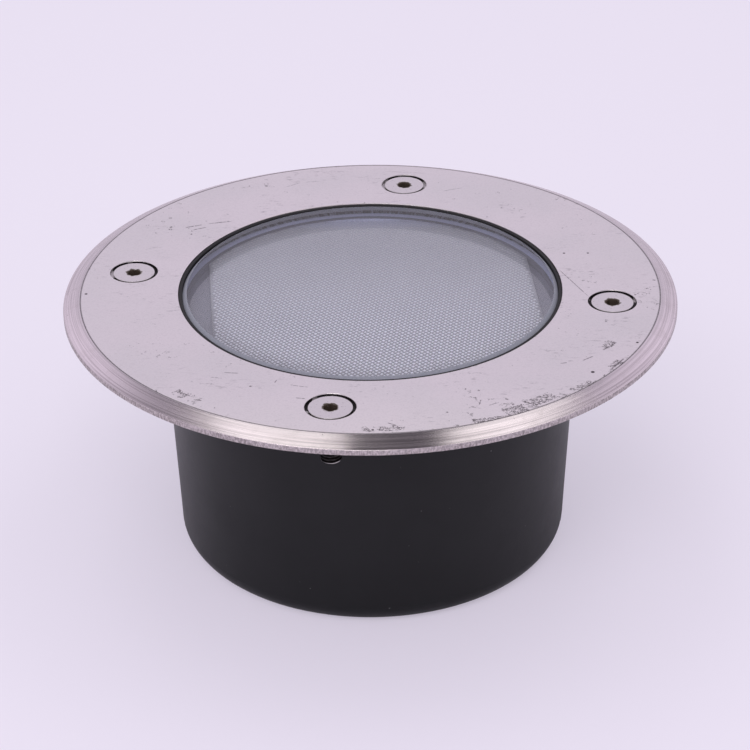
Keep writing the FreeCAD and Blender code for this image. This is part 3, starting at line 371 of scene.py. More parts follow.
class Recipe:
    """The node tree of one material or world, built by calls."""

    def __init__(self, owner: bpy.types.ID) -> None:
        """Empty the owner's node tree.

        Args:
            owner: A material or a world.
        """
        owner.use_nodes = True
        self.owner = owner
        self.tree = owner.node_tree
        self.tree.nodes.clear()

    def node(self, kind: str, settings: Mapping[str, Any] | None = None,
             sockets: Mapping[Any, Any] | None = None) -> bpy.types.Node:
        """Add a node.

        Args:
            kind: The node's type.
            settings: Its properties, set first; "stops" holds a ramp's (place, colour) pairs.
            sockets: Values or signals for its inputs, by name or index.

        Returns:
            The new node.
        """
        node = self.tree.nodes.new(kind)
        for name, value in (settings or {}).items():
            if name == "stops":
                ramp = node.color_ramp.elements
                ramp[0].position, ramp[-1].position = value[0][0], value[-1][0]
                ramp[0].color, ramp[-1].color = (*value[0][1], 1.0), (*value[-1][1], 1.0)
                for place, colour in value[1:-1]:
                    ramp.new(place).color = (*colour, 1.0)
            else:
                setattr(node, name, value)
        for key, value in (sockets or {}).items():
            if isinstance(value, Signal):
                self.tree.links.new(value.socket, node.inputs[key])
            else:
                node.inputs[key].default_value = value
        return node

    def out(self, kind: str, settings: Mapping[str, Any] | None = None,
            sockets: Mapping[Any, Any] | None = None, output: int | str = 0) -> Signal:
        """Add a node and return one of its outputs as a signal."""
        return Signal(self, self.node(kind, settings, sockets).outputs[output])

    def place(self) -> Signal:
        """Return the place on the piece in millimetres."""
        spot = self.out("ShaderNodeTexCoord", output="Object")
        return self.out("ShaderNodeVectorMath", {"operation": "SCALE"}, {0: spot, 3: 1 / MM})

    def split(self, spot: Signal) -> tuple[Signal, Signal, Signal]:
        """Return the three parts of a vector."""
        parts = self.node("ShaderNodeSeparateXYZ", sockets={0: spot}).outputs
        return Signal(self, parts[0]), Signal(self, parts[1]), Signal(self, parts[2])

    def join(self, x: Signal | float, y: Signal | float, z: Signal | float = 0.0) -> Signal:
        """Return a vector made of three values."""
        return self.out("ShaderNodeCombineXYZ", sockets={0: x, 1: y, 2: z})

    def noise(self, spot: Signal, scale: float, detail: float = 2.0, rough: float = 0.5) -> Signal:
        """Return a noise of a vector, about 0.5 on average."""
        return self.out("ShaderNodeTexNoise", sockets={
            "Vector": spot, "Scale": scale, "Detail": detail, "Roughness": rough})

    def blend(self, share: Signal | float, first: Any, second: Any) -> Signal:
        """Mix two colours by a share."""
        return self.out("ShaderNodeMix", {"data_type": "RGBA"},
                        {0: share, 6: rgba(first), 7: rgba(second)}, output=2)

    def stretch(self, spot: Signal, amounts: tuple[float, float, float]) -> Signal:
        """Multiply a vector part by part."""
        return self.out("ShaderNodeVectorMath", {"operation": "MULTIPLY"}, {0: spot, 1: amounts})

    def polar(self, spot: Signal) -> tuple[Signal, Signal, Signal]:
        """Work out the polar parts of a place.

        Args:
            spot: The place in millimetres.

        Returns:
            The distance from the Z axis, the angle about it in radians and the height.
        """
        x, y, z = self.split(spot)
        radius = (x * x + y * y) ** 0.5
        return radius, x.math("ARCTAN2", y, x), z

    def from_screw(self, spot: Signal) -> Signal:
        """Work out the distance from the axis of the nearest ring screw.

        Turned back by the pattern's turn, the four axes lie on X and Y. Then the larger of |x| and
        |y| less the circle's radius and the smaller of them are the two parts of the distance.

        Args:
            spot: The place in millimetres.

        Returns:
            The distance.
        """
        x, y, _ = self.split(self.turned(spot, (0.0, 0.0), SCREW_TURN))
        out, across = (abs(x) | abs(y)) - SCREW_CIRCLE, abs(x).math("MINIMUM", abs(x), abs(y))
        return (out * out + across * across) ** 0.5

    def turned(self, spot: Signal, centre: tuple[float, float], turn: float) -> Signal:
        """Move a place into the frame of a pattern.

        Args:
            spot: The place in millimetres.
            centre: The pattern's middle (x, y).
            turn: Its turn from +X in degrees.

        Returns:
            The place as the pattern sees it.
        """
        return self.out("ShaderNodeMapping", {"vector_type": "TEXTURE"}, {
            "Vector": spot, "Location": (*centre, 0.0), "Rotation": (0.0, 0.0, math.radians(turn))})

    def dot(self, spot: Signal, x: float, y: float, size: float) -> Signal:
        """Make the mask of a round spot.

        Args:
            spot: The place in millimetres.
            x: The spot's middle along X.
            y: Its middle along Y.
            size: Its radius; the mask fades on both sides of it.

        Returns:
            The mask.
        """
        here_x, here_y, _ = self.split(spot)
        across, along = here_x - x, here_y - y
        return (across * across + along * along).step(size * size * 1.4, size * size * 0.5)

    def stroke(self, spot: Signal, mark: Mark) -> Signal:
        """Make the mask of a straight mark that tapers to both ends.

        Args:
            spot: The place in millimetres.
            mark: The mark, whose weight is the mask's highest value.

        Returns:
            The mask.
        """
        along, across, _ = self.split(self.turned(spot, (mark.x, mark.y), mark.turn))
        shape = (abs(along).step(mark.length / 2, mark.length / 3)
                 * abs(across).step(mark.width / 2, mark.width / 5))
        return shape if mark.weight == 1.0 else shape * mark.weight

    def bump(self, height: Signal, depth: float, strength: float) -> Signal:
        """Return the normal of a surface whose height signal spans a depth in millimetres."""
        return self.out("ShaderNodeBump", sockets={
            "Height": height, "Distance": depth * MM, "Strength": strength})

    def principled(self, **sockets: Any) -> Signal:
        """Add a Principled shader.

        Args:
            **sockets: Its inputs; an underscore in a name stands for a space, and a colour may
                be three numbers.

        Returns:
            The shader.
        """
        named = {name.replace("_", " "): rgba(value) for name, value in sockets.items()}
        return self.out("ShaderNodeBsdfPrincipled", sockets=named)

    def surface(self, shader: Signal) -> Any:
        """Connect a shader to the output.

        Args:
            shader: The shader.

        Returns:
            The material or world whose tree this is.
        """
        kind = "World" if isinstance(self.owner, bpy.types.World) else "Material"
        self.node(f"ShaderNodeOutput{kind}", sockets={"Surface": shader})
        return self.owner


# ---------------------------------------------------------------- finishes


@dataclass(frozen=True)
class Finish(ABC):
    """A finish that has a material of its own."""

    name: str

    @abstractmethod
    def shader(self, recipe: Recipe) -> Signal:
        """Return the finish's shader, built in a material's recipe."""

    def material(self) -> bpy.types.Material:
        """Return a new material with this finish."""
        recipe = Recipe(bpy.data.materials.new(self.name))
        return recipe.surface(self.shader(recipe))


TORN_MARKS = (
    Mark(26.2, -65.2, 12.0, 9.2, 3.0, 0.28), Mark(32.3, -61.2, 27.0, 6.8, 5.4, 0.28),
    Mark(38.0, -56.6, 36.0, 9.2, 6.0, 0.27), Mark(42.6, -55.2, 38.0, 4.4, 3.9, 0.23),
    Mark(30.0, -58.4, 40.0, 5.6, 6.0, 0.18), Mark(48.0, -50.6, 43.0, 8.8, 3.6, 0.20),
    Mark(56.8, -40.4, 52.0, 5.6, 3.6, 0.23), Mark(2.5, -68.6, 3.0, 12.0, 3.6, 0.19),
    Mark(-42.0, -53.6, -38.0, 10.0, 4.8, 0.16), Mark(55.8, -31.0, 60.0, 4.8, 3.9, 0.22))
SCRATCHES = (
    Mark(50.0, 0.4, -67.0, 17.0, 0.30), Mark(56.9, -40.6, 56.0, 7.5, 0.62),
    Mark(55.2, -32.6, 48.0, 3.2, 0.55), Mark(56.7, -29.9, -18.0, 2.0, 0.5),
    Mark(50.4, -37.6, 38.0, 3.6, 0.42), Mark(44.6, -39.7, 12.0, 1.8, 0.4),
    Mark(-45.2, 34.6, 20.0, 5.0, 0.6), Mark(-38.5, 36.6, 12.0, 6.5, 0.5),
    Mark(-43.5, 33.2, 24.0, 4.0, 0.5), Mark(-32.4, -42.6, -7.0, 4.0, 0.34),
    Mark(-35.6, -44.8, -12.0, 3.0, 0.3), Mark(-21.9, -46.8, 70.0, 1.4, 0.34),
    Mark(-16.2, -49.2, -14.0, 4.2, 0.28), Mark(-16.1, -54.7, -10.0, 2.4, 0.4),
    Mark(24.5, -57.4, 78.0, 2.6, 0.34), Mark(27.6, -58.2, 30.0, 3.0, 0.3),
    Mark(10.0, 66.0, -8.0, 12.0, 0.14), Mark(-56.0, 10.0, 70.0, 9.0, 0.16),
    Mark(4.5, -66.7, -30.0, 2.4, 0.4), Mark(-42.2, -52.4, -34.0, 5.0, 0.3),
    Mark(22.0, 55.0, 20.0, 6.0, 0.2), Mark(-20.0, 59.0, 35.0, 5.0, 0.2))
PITS = (
    (-69.4, -2.4, 0.36), (48.7, 16.9, 0.32), (54.7, 16.8, 0.30), (51.0, -44.1, 0.46),
    (-45.5, 30.0, 0.24), (-15.5, -44.0, 0.24), (0.2, -69.1, 0.3), (62.6, -30.2, 0.34))


@dataclass(frozen=True)
class Rolled(Finish):
    """Rolled stainless sheet with torn marks by the bevel, scratches, pits, rubbed patches and a painted
    reflection that lightens its front.
    """

    name: str = "rolled_stainless"
    colour: Colour = (0.762, 0.708, 0.706)
    cloudy: Colour = (0.725, 0.692, 0.687)
    # Lighter, warmer tone for the front of the ring: painted reflection.
    front_reflection: Colour = (0.85, 0.80, 0.765)
    grainy: Colour = (0.42, 0.38, 0.39)
    rubbed: Colour = (0.34, 0.31, 0.33)
    grooved: Colour = (0.10, 0.085, 0.09)
    scratched: Colour = (0.15, 0.13, 0.135)
    torn: Colour = (0.085, 0.07, 0.075)
    roughness: float = 0.34
    groove: float = 70.78
    rim: tuple[float, float] = (69.0, 70.4)
    # Y values where the painted reflection on the front begins and where it is full.
    front_reflection_span: tuple[float, float] = (-45.0, -72.0)

    def shader(self, recipe: Recipe) -> Signal:
        """Build the shader.

        Args:
            recipe: The material's recipe.

        Returns:
            The shader.
        """
        spot = recipe.place()
        radius, angle, _ = recipe.polar(spot)
        _, y, _ = recipe.split(spot)
        cloud = recipe.noise(spot, 0.05, 3.0)
        grain = recipe.noise(recipe.stretch(spot, (0.35, 3.5, 1.0)), 1.0, 3.0, 0.6)
        fine = recipe.noise(spot, 2.2, 4.0, 0.7)
        torn = self.torn_mask(recipe, spot, radius, angle)
        scratches = union(recipe.stroke(spot, mark) for mark in SCRATCHES)
        scratches = scratches * recipe.noise(spot, 1.6, 3.0, 0.6).step(0.3, 0.55)
        smears = self.smear_mask(recipe, spot)
        groove = abs(radius - self.groove).step(0.32, 0.06) * (0.55 + fine * 0.9)
        colour = recipe.blend(cloud.step(0.35, 0.7) * 0.6, self.colour, self.cloudy)
        # Painted reflection: the front of the ring is lighter and warmer.
        colour = recipe.blend(y.step(*self.front_reflection_span) * 0.5, colour, self.front_reflection)
        colour = recipe.blend(fine.step(0.42, 0.75) * 0.20, colour, self.grainy)
        colour = recipe.blend(smears * 0.5, colour, self.rubbed)
        colour = recipe.blend(groove * 0.8, colour, self.grooved)
        colour = recipe.blend(scratches * 0.85, colour, self.scratched)
        colour = recipe.blend(torn, colour, self.torn)
        rough = self.roughness + (cloud - 0.5) * 0.10 + (fine - 0.5) * 0.06 + smears * 0.12 + torn * 0.2
        return recipe.principled(Base_Color=colour, Metallic=1.0, Roughness=rough,
                                 Normal=recipe.bump(grain * 0.25 + fine * 0.25, 0.004, 0.35))

    def torn_mask(self, recipe: Recipe, spot: Signal, radius: Signal, angle: Signal) -> Signal:
        """Make the mask of torn marks and pits.

        The marks are the contour lines of a noise at its mean, and its highest parts. They show
        where their weight is high: in patches, thinly along the front of the bevel, and here and
        there as strays.

        Args:
            recipe: The material's recipe.
            spot: The place in millimetres.
            radius: Its distance from the axis.
            angle: Its angle about the axis in radians.

        Returns:
            The mask.
        """
        relief = recipe.noise(recipe.stretch(spot, (0.8, 1.25, 1.0)), 0.95, 4.0, 0.7)
        lines = abs(relief - 0.5).step(0.050, 0.018)
        front = math.radians(-90)
        rim = radius.step(*self.rim) * radius.step(70.75, 70.6)
        strip = rim * angle.step(front - 0.9, front + 0.5) * angle.step(front + 1.2, front + 0.95) * 0.125
        stray = recipe.noise(spot, 0.08, 1.0).step(0.5, 0.7) * 0.075
        weight = union(recipe.stroke(spot, mark) for mark in TORN_MARKS) | strip | stray
        hurt = (weight + recipe.noise(spot, 0.62, 3.0, 0.6) * 0.75).step(0.51, 0.60)
        torn = lines * hurt | (relief + weight).step(0.885, 0.93)
        return union([torn, *(recipe.dot(spot, *pit) for pit in PITS)])

    def smear_mask(self, recipe: Recipe, spot: Signal) -> Signal:
        """Make the mask of faint rubbed patches.

        Args:
            recipe: The material's recipe.
            spot: The place in millimetres.

        Returns:
            The mask.
        """
        patch = recipe.noise(spot, 0.11, 2.0).step(0.50, 0.66)
        rubbed = recipe.noise(recipe.stretch(spot, (0.5, 1.4, 1.0)), 0.9, 5.0, 0.7).step(0.54, 0.68)
        return patch * rubbed


@dataclass(frozen=True)
class Turned(Finish):
    """Stainless steel with lathe lines round the axis, which draw its gloss out across them."""

    name: str = "turned_stainless"
    colour: Colour = (0.77, 0.685, 0.695)
    lined: Colour = (0.43, 0.38, 0.385)
    inner: Colour = (0.50, 0.46, 0.465)
    stained: Colour = (0.50, 0.44, 0.43)
    nicked: Colour = (0.12, 0.10, 0.10)
    roughness: float = 0.205
    anisotropy: float = 0.9
    lines_per_mm: float = 2.1
    depth: float = 0.006
    inner_band: tuple[float, float] = (72.6, 71.0)

    def shader(self, recipe: Recipe) -> Signal:
        """Build the shader.

        Args:
            recipe: The material's recipe.

        Returns:
            The shader.
        """
        spot = recipe.place()
        radius, angle, height = recipe.polar(spot)
        across = radius - height * 0.4
        rings = recipe.noise(recipe.join(across * self.lines_per_mm, angle * 1.1), 1.0, 3.0, 0.7)
        wide = recipe.noise(recipe.join(across * 0.9, angle * 2.0), 1.0, 2.0)
        stain = recipe.noise(spot, 0.22, 4.0, 0.6)
        nicks = recipe.noise(recipe.join(radius * 1.4, angle * 60.0, height), 1.0, 3.0, 0.6)
        nicks = nicks.step(0.70, 0.75)
        colour = recipe.blend(rings.step(0.40, 0.66) * 0.68, self.colour, self.lined)
        colour = recipe.blend(radius.step(*self.inner_band) * 0.35, colour, self.inner)
        colour = recipe.blend(stain.step(0.5, 0.75) * 0.3, colour, self.stained)
        colour = recipe.blend(nicks * 0.8, colour, self.nicked)
        rough = self.roughness + (wide - 0.5) * 0.16 + stain * 0.04
        normal = recipe.bump(rings + wide * 0.5 - nicks, self.depth, 0.6)
        return recipe.principled(Base_Color=colour, Metallic=1.0, Roughness=rough, Normal=normal,
                                 Anisotropic=self.anisotropy, Anisotropic_Rotation=0.25)


@dataclass(frozen=True)
class CutEdge(Finish):
    """The cut edge of the ring, with fine upright marks left by the cutter."""

    name: str = "cut_stainless"
    colour: Colour = (0.58, 0.52, 0.52)
    marked: Colour = (0.20, 0.175, 0.175)
    bright: Colour = (0.66, 0.61, 0.615)
    marks_per_radian: float = 150.0
    roughness: float = 0.42

    def shader(self, recipe: Recipe) -> Signal:
        """Build the shader.

        Args:
            recipe: The material's recipe.

        Returns:
            The shader.
        """
        _, angle, height = recipe.polar(recipe.place())
        marks = recipe.noise(recipe.join(angle * self.marks_per_radian, height * 0.9), 1.0, 3.0, 0.75)
        patches = recipe.noise(recipe.join(angle * 14.0, height * 0.3), 1.0, 2.0)
        colour = recipe.blend(marks.step(0.40, 0.58) * 0.75, self.colour, self.marked)
        colour = recipe.blend(patches.step(0.35, 0.7) * 0.25, colour, self.bright)
        return recipe.principled(Base_Color=colour, Metallic=1.0, Roughness=self.roughness + marks * 0.12,
                                 Normal=recipe.bump(marks + patches * 0.4, 0.05, 0.6))


@dataclass(frozen=True)
class ScrewSteel(Finish):
    """Stainless screws with brown grime in their sockets and seats, pale crumbs brightened as a painted
    highlight on the socket floors, threads darkened by painted shade with dirt, and a painted glint by
    each tip.
    """

    name: str = "screw_stainless"
    colour: Colour = (0.72, 0.675, 0.675)
    brushed: Colour = (0.55, 0.52, 0.51)
    grime: Colour = (0.060, 0.040, 0.030)
    # Pale crumbs, brightened as a painted highlight, as the socket floor lies in shade.
    crumb_highlight: Colour = (0.62, 0.54, 0.48)
    # Dark threads: painted shade with dirt, as the shank lies in shade under the ring.
    thread: Colour = (0.05, 0.046, 0.045)
    face_level: float = top_of("ring_screws")
    tip_level: float = foot_of("ring_screws")
    shank_levels: tuple[float, float] = (61.5, 60.5)
    mouth_radii: tuple[float, float] = (2.15, 1.75)
    # Radii about the screw axis within which the crumbs' painted highlight fades in.
    crumb_highlight_radii: tuple[float, float] = (1.35, 0.9)

    def shader(self, recipe: Recipe) -> Signal:
        """Build the shader.

        Args:
            recipe: The material's recipe.

        Returns:
            The shader.
        """
        spot = recipe.place()
        _, _, height = recipe.split(spot)
        away = recipe.from_screw(spot)
        speckle = recipe.noise(spot, 1.6, 4.0, 0.65)
        lobes = recipe.noise(spot, 0.9, 2.0, 0.5)
        brushed = recipe.noise(recipe.stretch(spot, (5.0, 0.8, 1.0)), 1.0, 2.0)
        low = height.step(self.face_level - 0.05, self.face_level - 0.3)
        shank = height.step(*self.shank_levels)
        # Painted glint: a ring just above the tip keeps the bright steel colour and is made less
        # metallic.
        rim = height.step(self.tip_level + 0.75, self.tip_level + 0.6)
        rim = rim * height.step(self.tip_level + 0.3, self.tip_level + 0.45)
        mouth = (away + (lobes - 0.5) * 1.3).step(*self.mouth_radii)
        dirt = (low | mouth) * (1.0 - shank) * (0.5 + speckle).step(0.55, 0.9)
        spots = speckle.step(0.60, 0.72) * 0.5
        # Crumbs near the socket floor, pale as a painted highlight.
        crumbs = recipe.noise(spot, 3.0, 2.0).step(0.42, 0.62) * away.step(*self.crumb_highlight_radii)
        colour = recipe.blend(brushed * 0.3, self.colour, self.brushed)
        colour = recipe.blend(dirt | spots * (1.0 - shank), colour, self.grime)
        colour = recipe.blend(crumbs * dirt, colour, self.crumb_highlight)
        # Painted shade with dirt darkens the shank, all but the painted glint by its tip.
        colour = recipe.blend(shank * (1.0 - rim), colour, self.thread)
        # The painted glint by the tip is less metallic, so it shows pale.
        return recipe.principled(Base_Color=colour, Metallic=1.0 - (dirt | rim * 0.8) * 0.85,
                                 Roughness=0.30 + dirt * 0.35 + speckle * 0.1,
                                 Normal=recipe.bump(speckle + brushed * 0.5, 0.01, 0.4))


@dataclass(frozen=True)
class PocketShade(Finish):
    """Near-black painted shade on the walls of the screw pockets of the ring, with patches of bare metal.
    """

    name: str = "pocket_shade"
    # Near-black painted shade for the deep, narrow gap round each screw head.
    colour: Colour = (0.014, 0.010, 0.012)
    bare: Colour = (0.62, 0.58, 0.59)

    def shader(self, recipe: Recipe) -> Signal:
        """Build the shader.

        Args:
            recipe: The material's recipe.

        Returns:
            The shader.
        """
        spot = recipe.place()
        crumbs = recipe.noise(spot, 1.8, 4.0, 0.7)
        # Patches of bare metal, where the painted shade stops.
        bare_patches = (recipe.noise(spot, 0.28, 1.0) + crumbs * 0.25).step(0.66, 0.73)
        bare = bare_patches | crumbs.step(0.60, 0.72) * 0.6
        return recipe.principled(Base_Color=recipe.blend(bare, self.colour, self.bare), Metallic=bare,
                                 Roughness=0.5, Specular_IOR_Level=0.2,
                                 Normal=recipe.bump(crumbs, 0.03, 0.6))


@dataclass(frozen=True)
class ClearGlass(Finish):
    """Thick clear glass; lamps reach what lies behind it."""

    name: str = "clear_glass"
    colour: Colour = (0.955, 0.975, 0.985)
    lamp_tint: Colour = (0.93, 0.95, 0.96)
    roughness: float = 0.01
    ior: float = 1.5

    def shader(self, recipe: Recipe) -> Signal:
        """Build the shader.

        Args:
            recipe: The material's recipe.

        Returns:
            The shader.
        """
        glass = recipe.principled(Base_Color=self.colour, Roughness=self.roughness, IOR=self.ior,
                                  Transmission_Weight=1.0)
        clear = recipe.out("ShaderNodeBsdfTransparent", sockets={"Color": rgba(self.lamp_tint)})
        lamp = recipe.out("ShaderNodeLightPath", output="Is Shadow Ray")
        return recipe.out("ShaderNodeMixShader", sockets={0: lamp, 1: glass, 2: clear})


@dataclass(frozen=True)
class GroundGlass(Finish):
    """Matt ground edges of the glass.

    The chamfer is pale, the wall beside the lip of the gasket is dark, and the underside, where
    the glass rests on its seat, is blue grey and darkens outwards.
    """

    name: str = "ground_glass"
    edge: Colour = (0.30, 0.297, 0.365)
    backed: Colour = (0.095, 0.098, 0.130)
    seat: Colour = (0.30, 0.315, 0.48)
    seat_radii: tuple[float, float] = (GLASS_UPPER, 49.6)
    lip_top: float = top_of("ring_gasket")
    step: float = foot_of("ring_gasket")
    roughness: float = 0.5

    def shader(self, recipe: Recipe) -> Signal:
        """Build the shader.

        Args:
            recipe: The material's recipe.

        Returns:
            The shader.
        """
        spot = recipe.place()
        radius, _, height = recipe.polar(spot)
        marks = recipe.noise(spot, 2.5, 3.0, 0.6)
        seat = recipe.blend(radius.step(*self.seat_radii) * 0.65, self.seat, self.backed)
        colour = recipe.blend(height.step(self.step, self.step - 0.4), self.backed, seat)
        colour = recipe.blend(height.step(self.lip_top - 0.5, self.lip_top - 0.35), colour, self.edge)
        colour = recipe.blend(marks.step(0.3, 0.7) * 0.25, colour, self.backed)
        return recipe.principled(Base_Color=colour, Roughness=self.roughness + marks * 0.1,
                                 Specular_IOR_Level=0.15)


class Texture(Enum):
    """Surface textures of moulded, cast and coated finishes: (scale per mm, depth in mm)."""

    FINE = (2.4, 0.006)
    SATIN = (1.1, 0.010)
    CAST = (0.55, 0.030)


@dataclass(frozen=True)
class Moulded(Finish):
    """A moulded, rubber or painted finish with a fine texture, uneven gloss and, if asked, dust."""

    colour: Colour
    roughness: float = 0.45
    texture: Texture = Texture.FINE
    specular: float = 0.5
    dust: float = 0.0
    mottle: float = 0.12
    mote: Colour = (0.42, 0.41, 0.43)

    def shader(self, recipe: Recipe) -> Signal:
        """Build the shader.

        Args:
            recipe: The material's recipe.

        Returns:
            The shader.
        """
        spot = recipe.place()
        scale, depth = self.texture.value
        grain = recipe.noise(spot, scale, 4.0, 0.6)
        cloud = recipe.noise(spot, 0.06, 3.0)
        darker = tuple(part * (1.0 - self.mottle) for part in self.colour)
        colour = recipe.blend(cloud.step(0.3, 0.7), self.colour, darker)
        if self.dust > 0.0:
            motes = recipe.noise(spot, 1.35, 2.0, 0.4).step(0.795, 0.825)
            colour = recipe.blend(motes * self.dust, colour, self.mote)
        rough = self.roughness + (cloud - 0.5) * 0.14 + (grain - 0.5) * 0.06
        return recipe.principled(Base_Color=colour, Roughness=rough, Specular_IOR_Level=self.specular,
                                 Normal=recipe.bump(grain, depth, 0.5))


@dataclass(frozen=True)
class Worked(Finish):
    """Bare or plated metal with the marks of the tool drawn out along one direction."""

    colour: Colour
    roughness: float = 0.32
    drawn: tuple[float, float, float] = (0.3, 4.0, 0.3)
    marked: float = 0.72

    def shader(self, recipe: Recipe) -> Signal:
        """Build the shader.

        Args:
            recipe: The material's recipe.

        Returns:
            The shader.
        """
        spot = recipe.place()
        marks = recipe.noise(recipe.stretch(spot, self.drawn), 1.0, 4.0, 0.6)
        cloud = recipe.noise(spot, 0.12, 3.0)
        darker = tuple(part * self.marked for part in self.colour)
        colour = recipe.blend(marks.step(0.3, 0.8) * 0.5, self.colour, darker)
        rough = self.roughness + (cloud - 0.5) * 0.2 + (marks - 0.5) * 0.1
        return recipe.principled(Base_Color=colour, Metallic=1.0, Roughness=rough,
                                 Normal=recipe.bump(marks, 0.01, 0.4))


@dataclass(frozen=True)
class PrismAcrylic(Finish):
    """Milky acrylic of the prism sheet, with painted shade between the prisms and towards the back.

    The painted shade turns bluer near the back edge. The last millimetres at the back edge are
    lighter and bluer: painted light for the light they take from the ground edge of the glass above.
    """

    name: str = "prism_acrylic"
    colour: Colour = (0.80, 0.77, 0.865)
    cloudy: Colour = (0.68, 0.66, 0.75)
    # Painted shade, darker towards the back of the sheet.
    back_shade: Colour = (0.29, 0.28, 0.32)
    # Painted shade in the valleys between the prisms.
    valley_shade: Colour = (0.13, 0.125, 0.15)
    # Bluer painted shade near the back edge.
    far: Colour = (0.29, 0.29, 0.40)
    # Painted light at the back edge, for the light from the ground edge of the glass above.
    rim: Colour = (0.46, 0.46, 0.66)
    peak: float = top_of("diffuser")
    tall: float = PRISM_HEIGHT
    roughness: float = 0.35

    def shader(self, recipe: Recipe) -> Signal:
        """Build the shader.

        Args:
            recipe: The material's recipe.

        Returns:
            The shader.
        """
        spot = recipe.place()
        cloud = recipe.noise(spot, 0.05, 3.0)
        _, y, height = recipe.split(spot)
        # Painted shade in the valleys between the prisms, weaker towards the back.
        share = (height - (self.peak - self.tall)) * (1.0 / self.tall)
        depth = share.step(0.62, 0.0) * (1.0 - y.step(-25.0, 40.0) * 0.55)
        colour = recipe.blend(cloud.step(0.3, 0.7) * 0.3, self.colour, self.cloudy)
        # Painted shade towards the back of the sheet.
        colour = recipe.blend(y.step(-30.0, 36.0) * 0.95, colour, self.back_shade)
        colour = recipe.blend(depth, colour, self.valley_shade)
        # Bluer painted shade near the back edge.
        colour = recipe.blend(y.step(38.0, 42.5) * 0.8, colour, self.far)
        # Painted light: the last millimetres at the back edge are lighter and bluer.
        colour = recipe.blend(y.step(42.8, 44.6) * 0.9, colour, self.rim)
        return recipe.principled(Base_Color=colour, Roughness=self.roughness + (cloud - 0.5) * 0.1,
                                 Specular_IOR_Level=0.5)


@dataclass(frozen=True)
class Striped(Finish):
    """Wire sleeve in two colours, with the second as a band along it."""

    colour: Colour
    band: Colour
    level: float = 10.0
    half_band: float = 0.3

    def shader(self, recipe: Recipe) -> Signal:
        """Build the shader.

        Args:
            recipe: The material's recipe.

        Returns:
            The shader.
        """
        _, _, height = recipe.split(recipe.place())
        away = abs(height - self.level)
        banded = away.step(self.half_band * 1.1, self.half_band * 0.9)
        return recipe.principled(Base_Color=recipe.blend(banded, self.colour, self.band), Roughness=0.45)


# ---------------------------------------------------------------- visible pieces


class Skin(IntEnum):
    """The material indices of the ring's mesh."""

    FACE = 0
    BEVEL = 1
    EDGE = 2
    POCKET = 3


